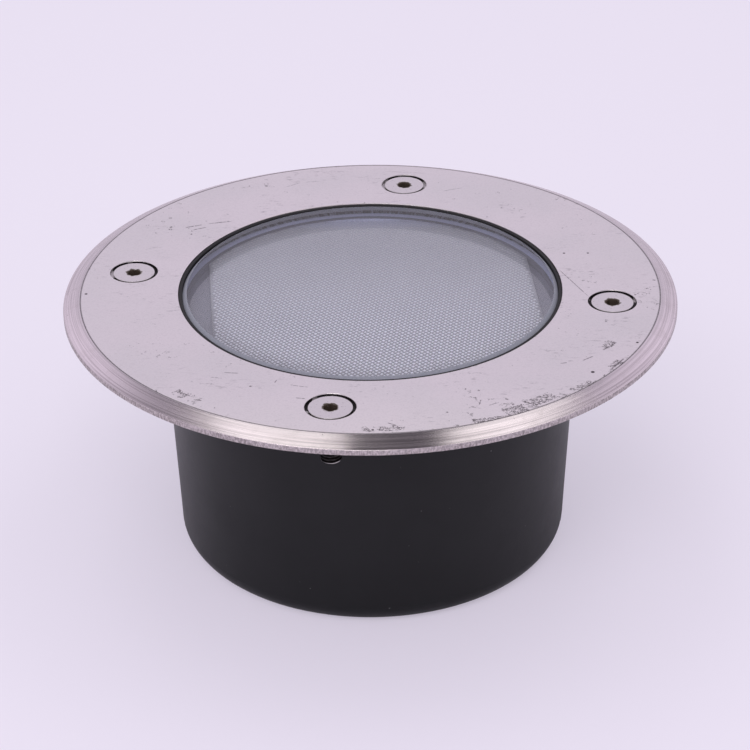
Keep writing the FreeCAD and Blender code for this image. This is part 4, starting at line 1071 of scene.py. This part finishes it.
@dataclass
class TrimRing:
    """Bevelled plate ring: two pierced faces, four countersinks, a crowned bevel and a cut edge.

    Its heights start at its own underside. A shallow groove is turned just inside the bevel. Each
    countersink lies in a sector of the faces that has its own grid, and the rest is plain.
    """

    under: float = foot_of("trim_ring")
    outer: float = reach_of("trim_ring")
    opening: float = OPENING
    thick: float = top_of("trim_ring") - foot_of("trim_ring")
    bevel_width: float = 4.0
    bevel_drop: float = 1.8
    bevel_lead: tuple[float, float] = (0.28, 0.13)
    bevel_crown: float = 0.028
    crown_radius: float = 2.0
    groove: tuple[float, float, float] = (0.42, 0.3, 0.12)
    groove_depth: float = 0.035
    mouth_break: float = 0.1
    foot_break: float = 0.25
    bore: float = 2.55
    seat_top: float = 4.75
    pocket: float = 5.9
    pocket_floor: float = 2.4
    pocket_break: float = 0.1
    seat_foot: float = 0.2
    steps: int = 480
    cells: int = 20
    rounds: int = 7
    half_sector: float = 7.5
    sector_low: float = 52.0
    sector_high: float = 67.0

    def rim_profile(self) -> np.ndarray:
        """Work out the outer profile from the top face over the bevel and edge to the underside.

        The bevel is a straight slope with a half sine wave on it as its crown. The groove starts,
        reaches its depth and leaves it at three distances inside the bevel.

        Returns:
            Its points (r, z).
        """
        start = self.outer - self.bevel_width
        foot = self.thick - self.bevel_drop
        first, second, third = (start - inside for inside in self.groove)
        bottom = self.thick - self.groove_depth
        crown = [(start + share * self.bevel_width,
                  self.thick - share * self.bevel_drop + self.bevel_crown * math.sin(math.pi * share),
                  self.crown_radius) for share in (0.35, 0.7)]
        corners = [(self.sector_high, self.thick), (first, self.thick, 0.1), (second, bottom, 0.1),
                   (third, bottom, 0.08), (start, self.thick - 0.005, 0.1),
                   (start + self.bevel_lead[0], self.thick - self.bevel_lead[1], 0.1), *crown,
                   (self.outer, foot, 0.12), (self.outer, self.foot_break, 0.1),
                   (self.outer - self.foot_break, 0.0, 0.1), (self.sector_high, 0.0)]
        return outline(corners, closed=False)

    def mouth_profile(self) -> np.ndarray:
        """Work out the inner profile from the underside up the glass opening to the top face.

        Returns:
            Its points (r, z).
        """
        edge = self.mouth_break
        return outline([(self.sector_low, 0.0), (self.opening, 0.0, 0.1),
                        (self.opening, self.thick - edge, 0.05), (self.opening + edge, self.thick, 0.05),
                        (self.sector_low, self.thick)], closed=False)

    def hole_profile(self) -> np.ndarray:
        """Work out a countersink from the top face down its pocket, seat and bore.

        Returns:
            Its points (r, z) about the hole's own axis.
        """
        edge = self.pocket_break
        return outline([(self.pocket + edge, self.thick), (self.pocket, self.thick - edge, 0.08),
                        (self.pocket, self.pocket_floor, 0.12), (self.seat_top, self.pocket_floor, 0.05),
                        (self.bore, self.seat_foot, 0.1), (self.bore, 0.0)], closed=False)

    def sector_border(self) -> np.ndarray:
        """Work out the closed border of the face's sector round a hole, in the ring's plane.

        It runs along the outer arc, in along one side, back along the inner arc and out again.

        Returns:
            Polar points (r, angle from the hole).
        """
        half = math.radians(self.half_sector)
        arc = np.linspace(-half, half, self.cells + 1)[:-1]
        side = np.linspace(self.sector_high, self.sector_low, self.cells + 1)[:-1]
        flat = np.ones(self.cells)
        radius = np.concatenate([flat * self.sector_high, side, flat * self.sector_low,
                                 self.sector_low + self.sector_high - side])
        angle = np.concatenate([arc, flat * half, -arc, -flat * half])
        return np.stack([radius, angle], axis=-1)

    def add_hole(self, shell: Shell, centre_angle: float) -> None:
        """Add both faces and the wall round one hole.

        A face's point at share t is (1 - t) times its border point plus t times the point of the
        hole's circle in the same direction. The pocket's broken rim is bare like the face, and
        the wall below it carries the near-black painted shade.

        Args:
            shell: The ring's shell.
            centre_angle: The hole's angle about the axis in radians.
        """
        border = self.sector_border()
        angle = border[:, 1] + centre_angle
        edge = np.stack([border[:, 0] * np.cos(angle), border[:, 0] * np.sin(angle)], axis=-1)
        middle = SCREW_CIRCLE * np.array([math.cos(centre_angle), math.sin(centre_angle)])
        away = edge - middle
        away /= np.linalg.norm(away, axis=1)[:, None]
        share = np.linspace(0.0, 1.0, self.rounds)[:, None, None]
        wall = self.hole_profile()
        for size, level in ((wall[0, 0], self.thick), (wall[-1, 0], 0.0)):
            plane = (1 - share) * edge + share * (middle + away * size)
            shell.add(np.concatenate([plane, np.full((*plane.shape[:2], 1), level)], axis=-1), wrap=True)
        rows = middle + away * wall[:, 0, None, None]
        depth = np.broadcast_to(wall[:, 1, None, None], (*rows.shape[:2], 1))
        grid = np.concatenate([rows, depth], axis=-1)
        rim = 1 + int(np.argmax(wall[:, 0] <= self.pocket))
        shell.add(grid[:rim + 1], wrap=True)
        # The pocket wall below the rim carries the near-black painted shade.
        shell.add(grid[rim:], wrap=True, skin=Skin.POCKET)

    def build(self) -> None:
        """Build the ring and dress it."""
        shell = Shell("bevelled_ring")
        angles = turn_of(self.steps, SCREW_TURN - self.half_sector)
        shell.add(lathe(self.mouth_profile(), angles), wrap=True)
        rim = self.rim_profile()
        bevel = int(np.argmax(rim[:, 0] > self.outer - self.bevel_width - 0.05))
        edge = int(np.argmax(rim[:, 0] > self.outer - 0.02))
        last = len(rim) - 1
        for low, high, skin in ((0, bevel, Skin.FACE), (bevel, edge, Skin.BEVEL),
                                (edge, last - 1, Skin.EDGE), (last - 1, last, Skin.FACE)):
            shell.add(lathe(rim[low:high + 1], angles), wrap=True, skin=skin)
        side = np.linspace(self.sector_low, self.sector_high, self.cells + 1)
        per_hole = self.steps // SCREW_COUNT
        between = np.arange(self.cells, per_hole + 1) * (angles[1] - angles[0])
        for hole in range(SCREW_COUNT):
            for level in (0.0, self.thick):
                plain = np.stack([side, np.full(side.shape, level)], axis=-1)
                shell.add(lathe(plain, angles[hole * per_hole] + between))
            self.add_hole(shell, screw_angle(hole))
        for part in shell.points:
            part[:, 2] += self.under
        finish_piece(shell.build(sharp=24.0), ["trim_ring"],
                     [Rolled().material(), Turned().material(), CutEdge().material(), PocketShade().material()])


@dataclass
class RingScrews:
    """Countersunk screws with hexagon sockets and a rolled thread."""

    spins: tuple[float, ...] = (0.0, 14.0, 31.0, 8.0)
    face: float = top_of("ring_screws")
    tip: float = foot_of("ring_screws")
    head: float = 5.1
    land: float = 0.3
    crest: float = 2.49
    root: float = 2.07
    pitch: float = 0.8
    tip_taper: float = 0.7
    tip_step: float = 0.25
    neck: float = 0.3
    flats: float = 3.0
    socket: float = 2.0
    socket_break: float = 0.3
    socket_lead: float = 0.14
    drill_point: tuple[tuple[float, float], ...] = ((0.5, 0.2), (0.0, 0.35))
    face_row: float = 0.8
    around: int = 96
    shank_around: int = 48
    shank_rows: int = 104

    def cone_foot(self) -> float:
        """Return the height where the head's 90 degree cone meets the shank."""
        return self.face - self.land - (self.head - self.crest)

    def hexagon(self, angles: np.ndarray, flats: float) -> np.ndarray:
        """Work out a hexagon's radius at each angle.

        It is half the size across flats over the cosine of the angle from the middle of the
        nearest side.

        Args:
            angles: The angles in radians.
            flats: The size across flats.

        Returns:
            The radii.
        """
        sixth = math.pi / 3
        return flats / 2 / np.cos(np.mod(angles, sixth) - sixth / 2)

    def head_grid(self) -> np.ndarray:
        """Work out the head from the shank up its cone, over the face and down into the socket.

        Returns:
            Its grid of points, which starts with a row on the axis.
        """
        angles = turn_of(self.around)
        foot = self.cone_foot()
        rim = outline([(self.crest, foot - self.neck), (self.crest, foot, 0.2),
                       (self.head, self.face - self.land, 0.1), (self.head, self.face, 0.09),
                       (self.head - self.face_row, self.face)], closed=False)
        outside = np.broadcast_to(rim[:, None, :], (len(rim), self.around, 2))
        wall = self.hexagon(angles, self.flats)
        mouth = self.hexagon(angles, self.flats + self.socket_break)
        point = [(wall * share, -self.socket - depth) for share, depth in self.drill_point]
        flat = [(self.head - 2 * self.face_row + 0 * wall, 0.0), (mouth, 0.0),
                (wall, -self.socket_lead), (wall, -self.socket), *point]
        inside = np.stack([np.stack([radius, self.face + drop + 0 * radius], axis=-1)
                           for radius, drop in flat])
        profile = np.concatenate([outside, inside])
        radius, height = profile[..., 0], profile[..., 1]
        grid = np.stack([radius * np.cos(angles), radius * np.sin(angles), height], axis=-1)
        return np.concatenate([grid[:1] * AXIS, grid])

    def thread_grid(self) -> np.ndarray:
        """Work out the threaded shank.

        Its radius runs between root and crest as a triangle wave of z / pitch - angle / turn, and
        fades to a plain cone at the tip.

        Returns:
            Its grid of points, which starts and ends with a row on the axis.
        """
        angles = turn_of(self.shank_around)
        levels = np.linspace(self.tip + 0.02, self.cone_foot() - self.neck, self.shank_rows)[:, None]
        wave = np.abs(np.mod(levels / self.pitch - angles / (2 * math.pi), 1.0) * 2 - 1)
        profile = np.clip(wave * 1.5 - 0.25, 0.0, 1.0)
        radius = self.root + (self.crest - self.root) * profile
        end = np.clip((levels - self.tip) / self.tip_taper, 0.0, 1.0)
        cone = self.root - self.tip_step + end * (self.crest - self.root + self.tip_step)
        radius = np.minimum(radius, cone)
        radius[-1] = self.crest
        grid = np.stack([radius * np.cos(angles), radius * np.sin(angles), levels + 0 * radius], axis=-1)
        return np.concatenate([grid[:1] * AXIS, grid, grid[-1:] * AXIS])

    def build(self) -> None:
        """Build the four screws as one piece and dress them."""
        shell = Shell("countersunk_screws")
        grids = (self.head_grid(), self.thread_grid())
        for place, spin in enumerate(self.spins):
            angle = screw_angle(place)
            centre = SCREW_CIRCLE * np.array([math.cos(angle), math.sin(angle), 0.0])
            turned = np.array(Matrix.Rotation(angle + math.radians(spin), 3, "Z"))
            for grid in grids:
                shell.add(grid @ turned.T + centre, wrap=True)
        finish_piece(shell.build(sharp=28.0), ["ring_screws"], [ScrewSteel().material()])


@dataclass
class GlassCover:
    """Stepped glass with ground edges, and the gasket whose lip stands between it and the ring."""

    top: float = top_of("glass_lens")
    under: float = foot_of("glass_lens")
    upper: float = GLASS_UPPER
    skirt: float = reach_of("glass_lens")
    step: float = foot_of("ring_gasket")
    chamfer: float = 0.95
    edge_break: float = 0.3
    ground_from: float = 45.7
    lip_top: float = top_of("trim_ring") - 0.2
    ring_under: float = foot_of("trim_ring")
    lip_gap: float = 0.05
    gasket_outer: float = reach_of("ring_gasket")
    opening: float = OPENING
    steps: int = 288

    def build_glass(self) -> None:
        """Build and dress the glass: its two faces are clear and what lies between is ground."""
        edge, angles = self.edge_break, turn_of(self.steps)
        profile = outline([
            (0.0, self.under), (self.ground_from, self.under), (self.skirt - edge, self.under, 0.1),
            (self.skirt, self.under + edge, 0.1), (self.skirt, self.step - edge, 0.1),
            (self.skirt - edge, self.step, 0.1), (self.upper, self.step, 0.15),
            (self.upper, self.top - self.chamfer, 0.12), (self.upper - self.chamfer, self.top, 0.12),
            (0.0, self.top)], closed=False)
        shell = Shell("stepped_glass")
        for part, skin in ((profile[:2], 0), (profile[1:-1], 1), (profile[-2:], 0)):
            shell.add(lathe(part, angles), wrap=True, skin=skin)
        finish_piece(shell.build(), ["glass_lens"],
                     [ClearGlass().material(), GroundGlass().material()])

    def build_lip(self) -> None:
        """Build and dress the gasket with its lip."""
        inner, outer = self.upper + self.lip_gap, self.opening - self.lip_gap
        profile = outline([
            (inner, self.step, 0.1), (self.gasket_outer, self.step, 0.15),
            (self.gasket_outer, self.ring_under, 0.15), (outer, self.ring_under, 0.1),
            (outer, self.lip_top, 0.25), (inner, self.lip_top, 0.25)], steps=5)
        shell = Shell("lip_gasket")
        shell.add(lathe(profile, turn_of(self.steps)), wrap=True)
        silicone = Moulded("lip_silicone", (0.009, 0.008, 0.009), 0.5, Texture.FINE, 0.25, dust=0.12)
        finish_piece(shell.build(), ["ring_gasket"], [silicone.material()])

    def build(self) -> None:
        """Build both pieces."""
        self.build_glass()
        self.build_lip()


@dataclass
class PrismSheet:
    """Diffuser with two straight flats and a field of four-sided prisms on its upper face."""

    top: float = top_of("diffuser")
    under: float = foot_of("diffuser")
    radius: float = 45.4
    half_width: float = 40.1
    shift: float = 1.0
    turn: float = 4.0
    edge_break: float = 0.15
    first: tuple[float, float] = (0.773, 0.633)
    second: tuple[float, float] = (0.598, -0.823)
    tall: float = PRISM_HEIGHT
    low: float = 0.24
    sunk: float = 0.01
    margin: float = 0.05
    border_steps: int = 96

    def outline_radius(self, angles: np.ndarray, inset: float = 0.0) -> np.ndarray:
        """Work out the sheet's radius at each angle: the circle, cut where a flat is nearer.

        Args:
            angles: The angles about the axis in radians.
            inset: How far inside the sheet's border the line lies.

        Returns:
            The radii.
        """
        across = np.cos(angles - math.radians(self.turn))
        flat = self.half_width + np.sign(across) * self.shift - inset
        return np.minimum(self.radius - inset, flat / np.maximum(np.abs(across), 1e-6))

    def plate(self) -> Shell:
        """Make the plate under the prisms, with the ends of the flats as points of its border.

        Returns:
            Its shell.
        """
        right = math.acos((self.half_width + self.shift) / self.radius)
        left = math.acos((self.half_width - self.shift) / self.radius)
        corners = [-right, right, math.pi - left, math.pi + left, 2 * math.pi - right]
        sides = [np.linspace(a, b, self.border_steps)[:-1] for a, b in zip(corners, corners[1:])]
        angles = np.concatenate(sides) + math.radians(self.turn)
        edge, valley = self.edge_break, self.top - self.tall
        radius = self.outline_radius(angles)
        rows = [(0.0 * radius, self.under), (radius - edge, self.under), (radius, self.under + edge),
                (radius, valley - edge), (radius - edge, valley), (0.0 * radius, valley)]
        shell = Shell("prism_plate")
        shell.add(np.stack([np.stack([r * np.cos(angles), r * np.sin(angles), z + 0 * r], axis=-1)
                            for r, z in rows]), wrap=True)
        return shell

    def prisms(self) -> tuple[np.ndarray, np.ndarray, np.ndarray]:
        """Work out the prisms: closed four-sided pyramids on a square lattice, tall and low in turn.

        The middle of cell (i, j) is i times the first pitch vector plus j times the second, and a
        cell is kept where all its corners lie inside the sheet's border.

        Returns:
            The points, the triangles of the sides and the squares of the bases.
        """
        first, second = np.array(self.first), np.array(self.second)
        count = int(self.radius) + 8
        i, j = (axis.ravel() for axis in np.meshgrid(np.arange(-count, count), np.arange(-count, count)))
        middle = i[:, None] * first + j[:, None] * second
        corners = np.stack([middle + (a * first + b * second) * 0.5
                            for a, b in ((-1, -1), (1, -1), (1, 1), (-1, 1))], axis=1)
        border = self.outline_radius(np.arctan2(corners[..., 1], corners[..., 0]), self.margin)
        kept = (np.hypot(corners[..., 0], corners[..., 1]) < border).all(axis=1)
        middle, corners, parity = middle[kept], corners[kept], (i + j)[kept] % 2
        foot = self.top - self.tall - self.sunk
        height = np.where(parity == 0, self.tall, self.low) + self.sunk
        base = np.concatenate([corners, np.full((*corners.shape[:2], 1), foot)], axis=-1)
        apex = np.concatenate([middle, (foot + height)[:, None]], axis=-1)
        points = np.concatenate([base, apex[:, None, :]], axis=1)
        start = 5 * np.arange(len(points))[:, None]
        sides = start[:, :, None] + np.array([[0, 1, 4], [1, 2, 4], [2, 3, 4], [3, 0, 4]])
        return points.reshape(-1, 3), sides.reshape(-1, 3), start + np.array([3, 2, 1, 0])

    def build(self) -> None:
        """Build the prisms and the plate as one mesh and dress it."""
        plate = self.plate().build()
        points, sides, bases = self.prisms()
        mesh = bpy.data.meshes.new("prism_sheet")
        mesh.from_pydata((points * MM).tolist(), [], sides.tolist() + bases.tolist())
        soup = bmesh.new()
        soup.from_mesh(mesh)
        soup.from_mesh(plate.data)
        soup.to_mesh(mesh)
        soup.free()
        bpy.data.objects.remove(plate)
        mesh.shade_flat()
        finish_piece(linked("prism_sheet", mesh), ["diffuser"],
                     [PrismAcrylic().material()])


# ---------------------------------------------------------------- carried-over nodes


FINISHES: dict[str, Finish] = {
    "black_silicone": Moulded("seal_rubber", (0.014, 0.014, 0.015), 0.55),
    "grey_moulding": Moulded("grey_moulding", (0.150, 0.142, 0.188), 0.5, Texture.SATIN),
    "plate_aluminium": Worked("milled_aluminium", (0.78, 0.78, 0.79), 0.38),
    "board_white": Moulded("solder_mask", (0.80, 0.81, 0.80), 0.35),
    "phosphor": Moulded("phosphor", (0.86, 0.70, 0.18), 0.4),
    "connector_white": Moulded("connector_nylon", (0.82, 0.80, 0.74), 0.4),
    "driver_white": Moulded("driver_case", (0.76, 0.76, 0.74), 0.48, Texture.SATIN),
    "zinc_sheet": Worked("zinc_sheet", (0.66, 0.67, 0.70), 0.36),
    "zinc_screw": Worked("zinc_screw", (0.68, 0.69, 0.72), 0.30, (2.0, 2.0, 2.0)),
    "block_white": Moulded("block_nylon", (0.80, 0.78, 0.70), 0.42),
    "brass_insert": Worked("brass", (0.80, 0.62, 0.28), 0.28, (3.0, 0.5, 3.0)),
    "tinned_brass": Worked("tinned_brass", (0.72, 0.70, 0.64), 0.30),
    "black_nylon": Moulded("black_nylon", (0.020, 0.020, 0.022), 0.42, Texture.SATIN, mottle=0.2),
    "black_casting": Moulded("satin_paint", (0.0085, 0.0085, 0.0100), 0.40, Texture.CAST, 0.26,
                             dust=0.5, mottle=0.2),
    "wire_brown": Moulded("brown_sleeve", (0.16, 0.06, 0.03), 0.4),
    "wire_blue": Moulded("blue_sleeve", (0.02, 0.09, 0.42), 0.4),
    "wire_black": Moulded("black_sleeve", (0.015, 0.015, 0.016), 0.4),
    "wire_red": Moulded("red_sleeve", (0.45, 0.02, 0.02), 0.4),
    "wire_green_yellow": Striped("earth_sleeve", (0.05, 0.32, 0.05), (0.75, 0.62, 0.03)),
}


def dress_nodes() -> None:
    """Give every CAD node that stays in view the finish of its material slot."""
    made = {slot: finish.material() for slot, finish in FINISHES.items()}
    slots = {row["node"]: row["material_slot"] for row in frame["record"]["subparts"]}
    for name, node in frame["nodes"].items():
        material = made.get(slots[name])
        if material is not None:
            node.data.materials.clear()
            node.data.materials.append(material)
            LOG.info("%s: %s", name, material.name)


# ---------------------------------------------------------------- studio


@dataclass(frozen=True)
class Softbox:
    """An area lamp that hangs level and shines down, in metres."""

    name: str
    spot: tuple[float, float, float]
    size: tuple[float, float]
    radiance: float

    def build(self) -> None:
        """Hang the lamp: its power is pi times its area times its radiance."""
        lamp = bpy.data.lights.new(self.name, "AREA")
        lamp.shape, lamp.size, lamp.size_y = "RECTANGLE", *self.size
        lamp.energy = math.pi * self.size[0] * self.size[1] * self.radiance
        linked(self.name, lamp).location = self.spot


@dataclass(frozen=True)
class Studio:
    """Pale floor in a light tent with a dark gap overhead, two softboxes, a fill and the camera."""

    floor: Colour = (0.84, 0.775, 0.915)
    floor_radii: tuple[float, ...] = (0.0, 300.0, 1200.0, 4000.0)
    floor_low: float = 0.985
    glow: float = 0.5
    ambient: Colour = (0.71, 0.71, 0.715)
    tent: Colour = (0.80, 0.742, 0.885)
    tent_levels: tuple[tuple[float, float], ...] = (
        (0.0, 0.84), (0.25, 0.90), (0.48, 1.14), (0.60, 1.00), (0.70, 0.87), (0.78, 0.60),
        (0.86, 0.46), (0.92, 0.38), (0.96, 0.12))
    dark: Colour = (0.005, 0.005, 0.006)
    gap_middle: float = 0.53
    shade: float = 0.28
    softboxes: tuple[Softbox, ...] = (
        Softbox("left_softbox", (-0.276, 0.32, 1.10), (0.405, 0.75), 1.32),
        Softbox("right_softbox", (0.400, 0.32, 1.10), (0.39, 0.75), 1.24),
        Softbox("front_fill", (-0.30, -0.95, 1.00), (0.90, 0.60), 4.2))
    lens: float = 122.83
    sensor: float = 36.0
    near: float = 0.01
    distance: float = 627.55
    elevation: float = 27.3825
    pitch: float = 29.3692
    yaw: float = 0.0984
    roll: float = -0.5894

    def build_floor(self) -> None:
        """Lay the floor: a disc about the object, which shows part of its own pale tone."""
        shell = Shell("studio_floor")
        radius = np.array(self.floor_radii)
        shell.add(lathe(np.stack([radius, 0 * radius], axis=-1), turn_of(96)), wrap=True)
        floor = shell.build()
        recipe = Recipe(bpy.data.materials.new("studio_paper"))
        cloud = recipe.noise(recipe.place(), 0.004, 2.0)
        colour = recipe.blend(cloud, self.floor, tuple(part * self.floor_low for part in self.floor))
        paper = recipe.principled(Base_Color=colour, Roughness=0.9, Specular_IOR_Level=0.1)
        pale = recipe.out("ShaderNodeEmission", sockets={"Color": colour, "Strength": 1.0})
        seen = recipe.out("ShaderNodeLightPath", output="Is Camera Ray") * self.glow
        floor.data.materials.append(recipe.surface(
            recipe.out("ShaderNodeMixShader", sockets={0: seen, 1: paper, 2: pale})))

    def build_world(self) -> None:
        """Light the surroundings.

        Matt surfaces see one even tone. The camera, gloss and glass see a tent, whose tone follows
        the upward part of the direction. High up it is shaded from the left to past its middle,
        and it has a dark gap to the right of that.
        """
        world = bpy.data.worlds.new("studio_air")
        bpy.context.scene.world = world
        recipe = Recipe(world)
        side, _, up = recipe.split(recipe.out("ShaderNodeTexCoord", output="Generated"))
        stops = [(place, tuple(part * level for part in self.tent)) for place, level in self.tent_levels]
        tent = recipe.out("ShaderNodeValToRGB", {"stops": stops}, {0: up})
        shaded = side.step(0.46, 0.34) * up.step(0.58, 0.75) * self.shade
        gap = abs(side - self.gap_middle).step(0.12, 0.06) * up.step(0.77, 0.86)
        tent = recipe.blend(shaded | gap, tent, self.dark)
        path = recipe.node("ShaderNodeLightPath").outputs
        shown = union(Signal(recipe, path[f"Is {kind} Ray"])
                      for kind in ("Camera", "Glossy", "Transmission"))
        air = recipe.blend(shown, self.ambient, tent)
        recipe.surface(recipe.out("ShaderNodeBackground", sockets={"Color": air, "Strength": 1.0}))

    def build_camera(self) -> None:
        """Place the camera at the photograph's viewing angle.

        The angles come from a fit of the ring, glass and pot outlines: the camera stands at a
        distance and elevation from the middle of the ring's face, looks down by the pitch and is
        turned by the yaw and roll.
        """
        elevation, pitch = math.radians(self.elevation), math.radians(self.pitch)
        yaw, roll = math.radians(self.yaw), math.radians(self.roll)
        level = math.cos(pitch)
        ahead = Vector((math.sin(yaw) * level, math.cos(yaw) * level, -math.sin(pitch)))
        right = ahead.cross(Vector(AXIS)).normalized()
        up = right.cross(ahead)
        turned_right = right * math.cos(roll) + up * math.sin(roll)
        turned_up = up * math.cos(roll) - right * math.sin(roll)
        matrix = Matrix((turned_right, turned_up, -ahead)).transposed().to_4x4()
        matrix.translation = Vector((
            0.0, -self.distance * math.cos(elevation),
            self.distance * math.sin(elevation) + top_of("trim_ring"))) * MM
        lens = bpy.data.cameras.new("studio_camera")
        lens.lens, lens.sensor_width, lens.clip_start = self.lens, self.sensor, self.near
        camera = linked("studio_camera", lens)
        camera.matrix_world = matrix
        bpy.context.scene.camera = camera

    def build(self) -> None:
        """Build the studio."""
        self.build_floor()
        self.build_world()
        for softbox in self.softboxes:
            softbox.build()
        self.build_camera()
        bpy.context.scene.view_settings.view_transform = "Standard"


def main() -> None:
    """Build the pieces in order, then the studio."""
    logging.basicConfig(level=logging.INFO, format="%(name)s %(message)s")
    dress_nodes()
    TrimRing().build()
    RingScrews().build()
    GlassCover().build()
    PrismSheet().build()
    Studio().build()


if __name__ == "__main__":
    main()
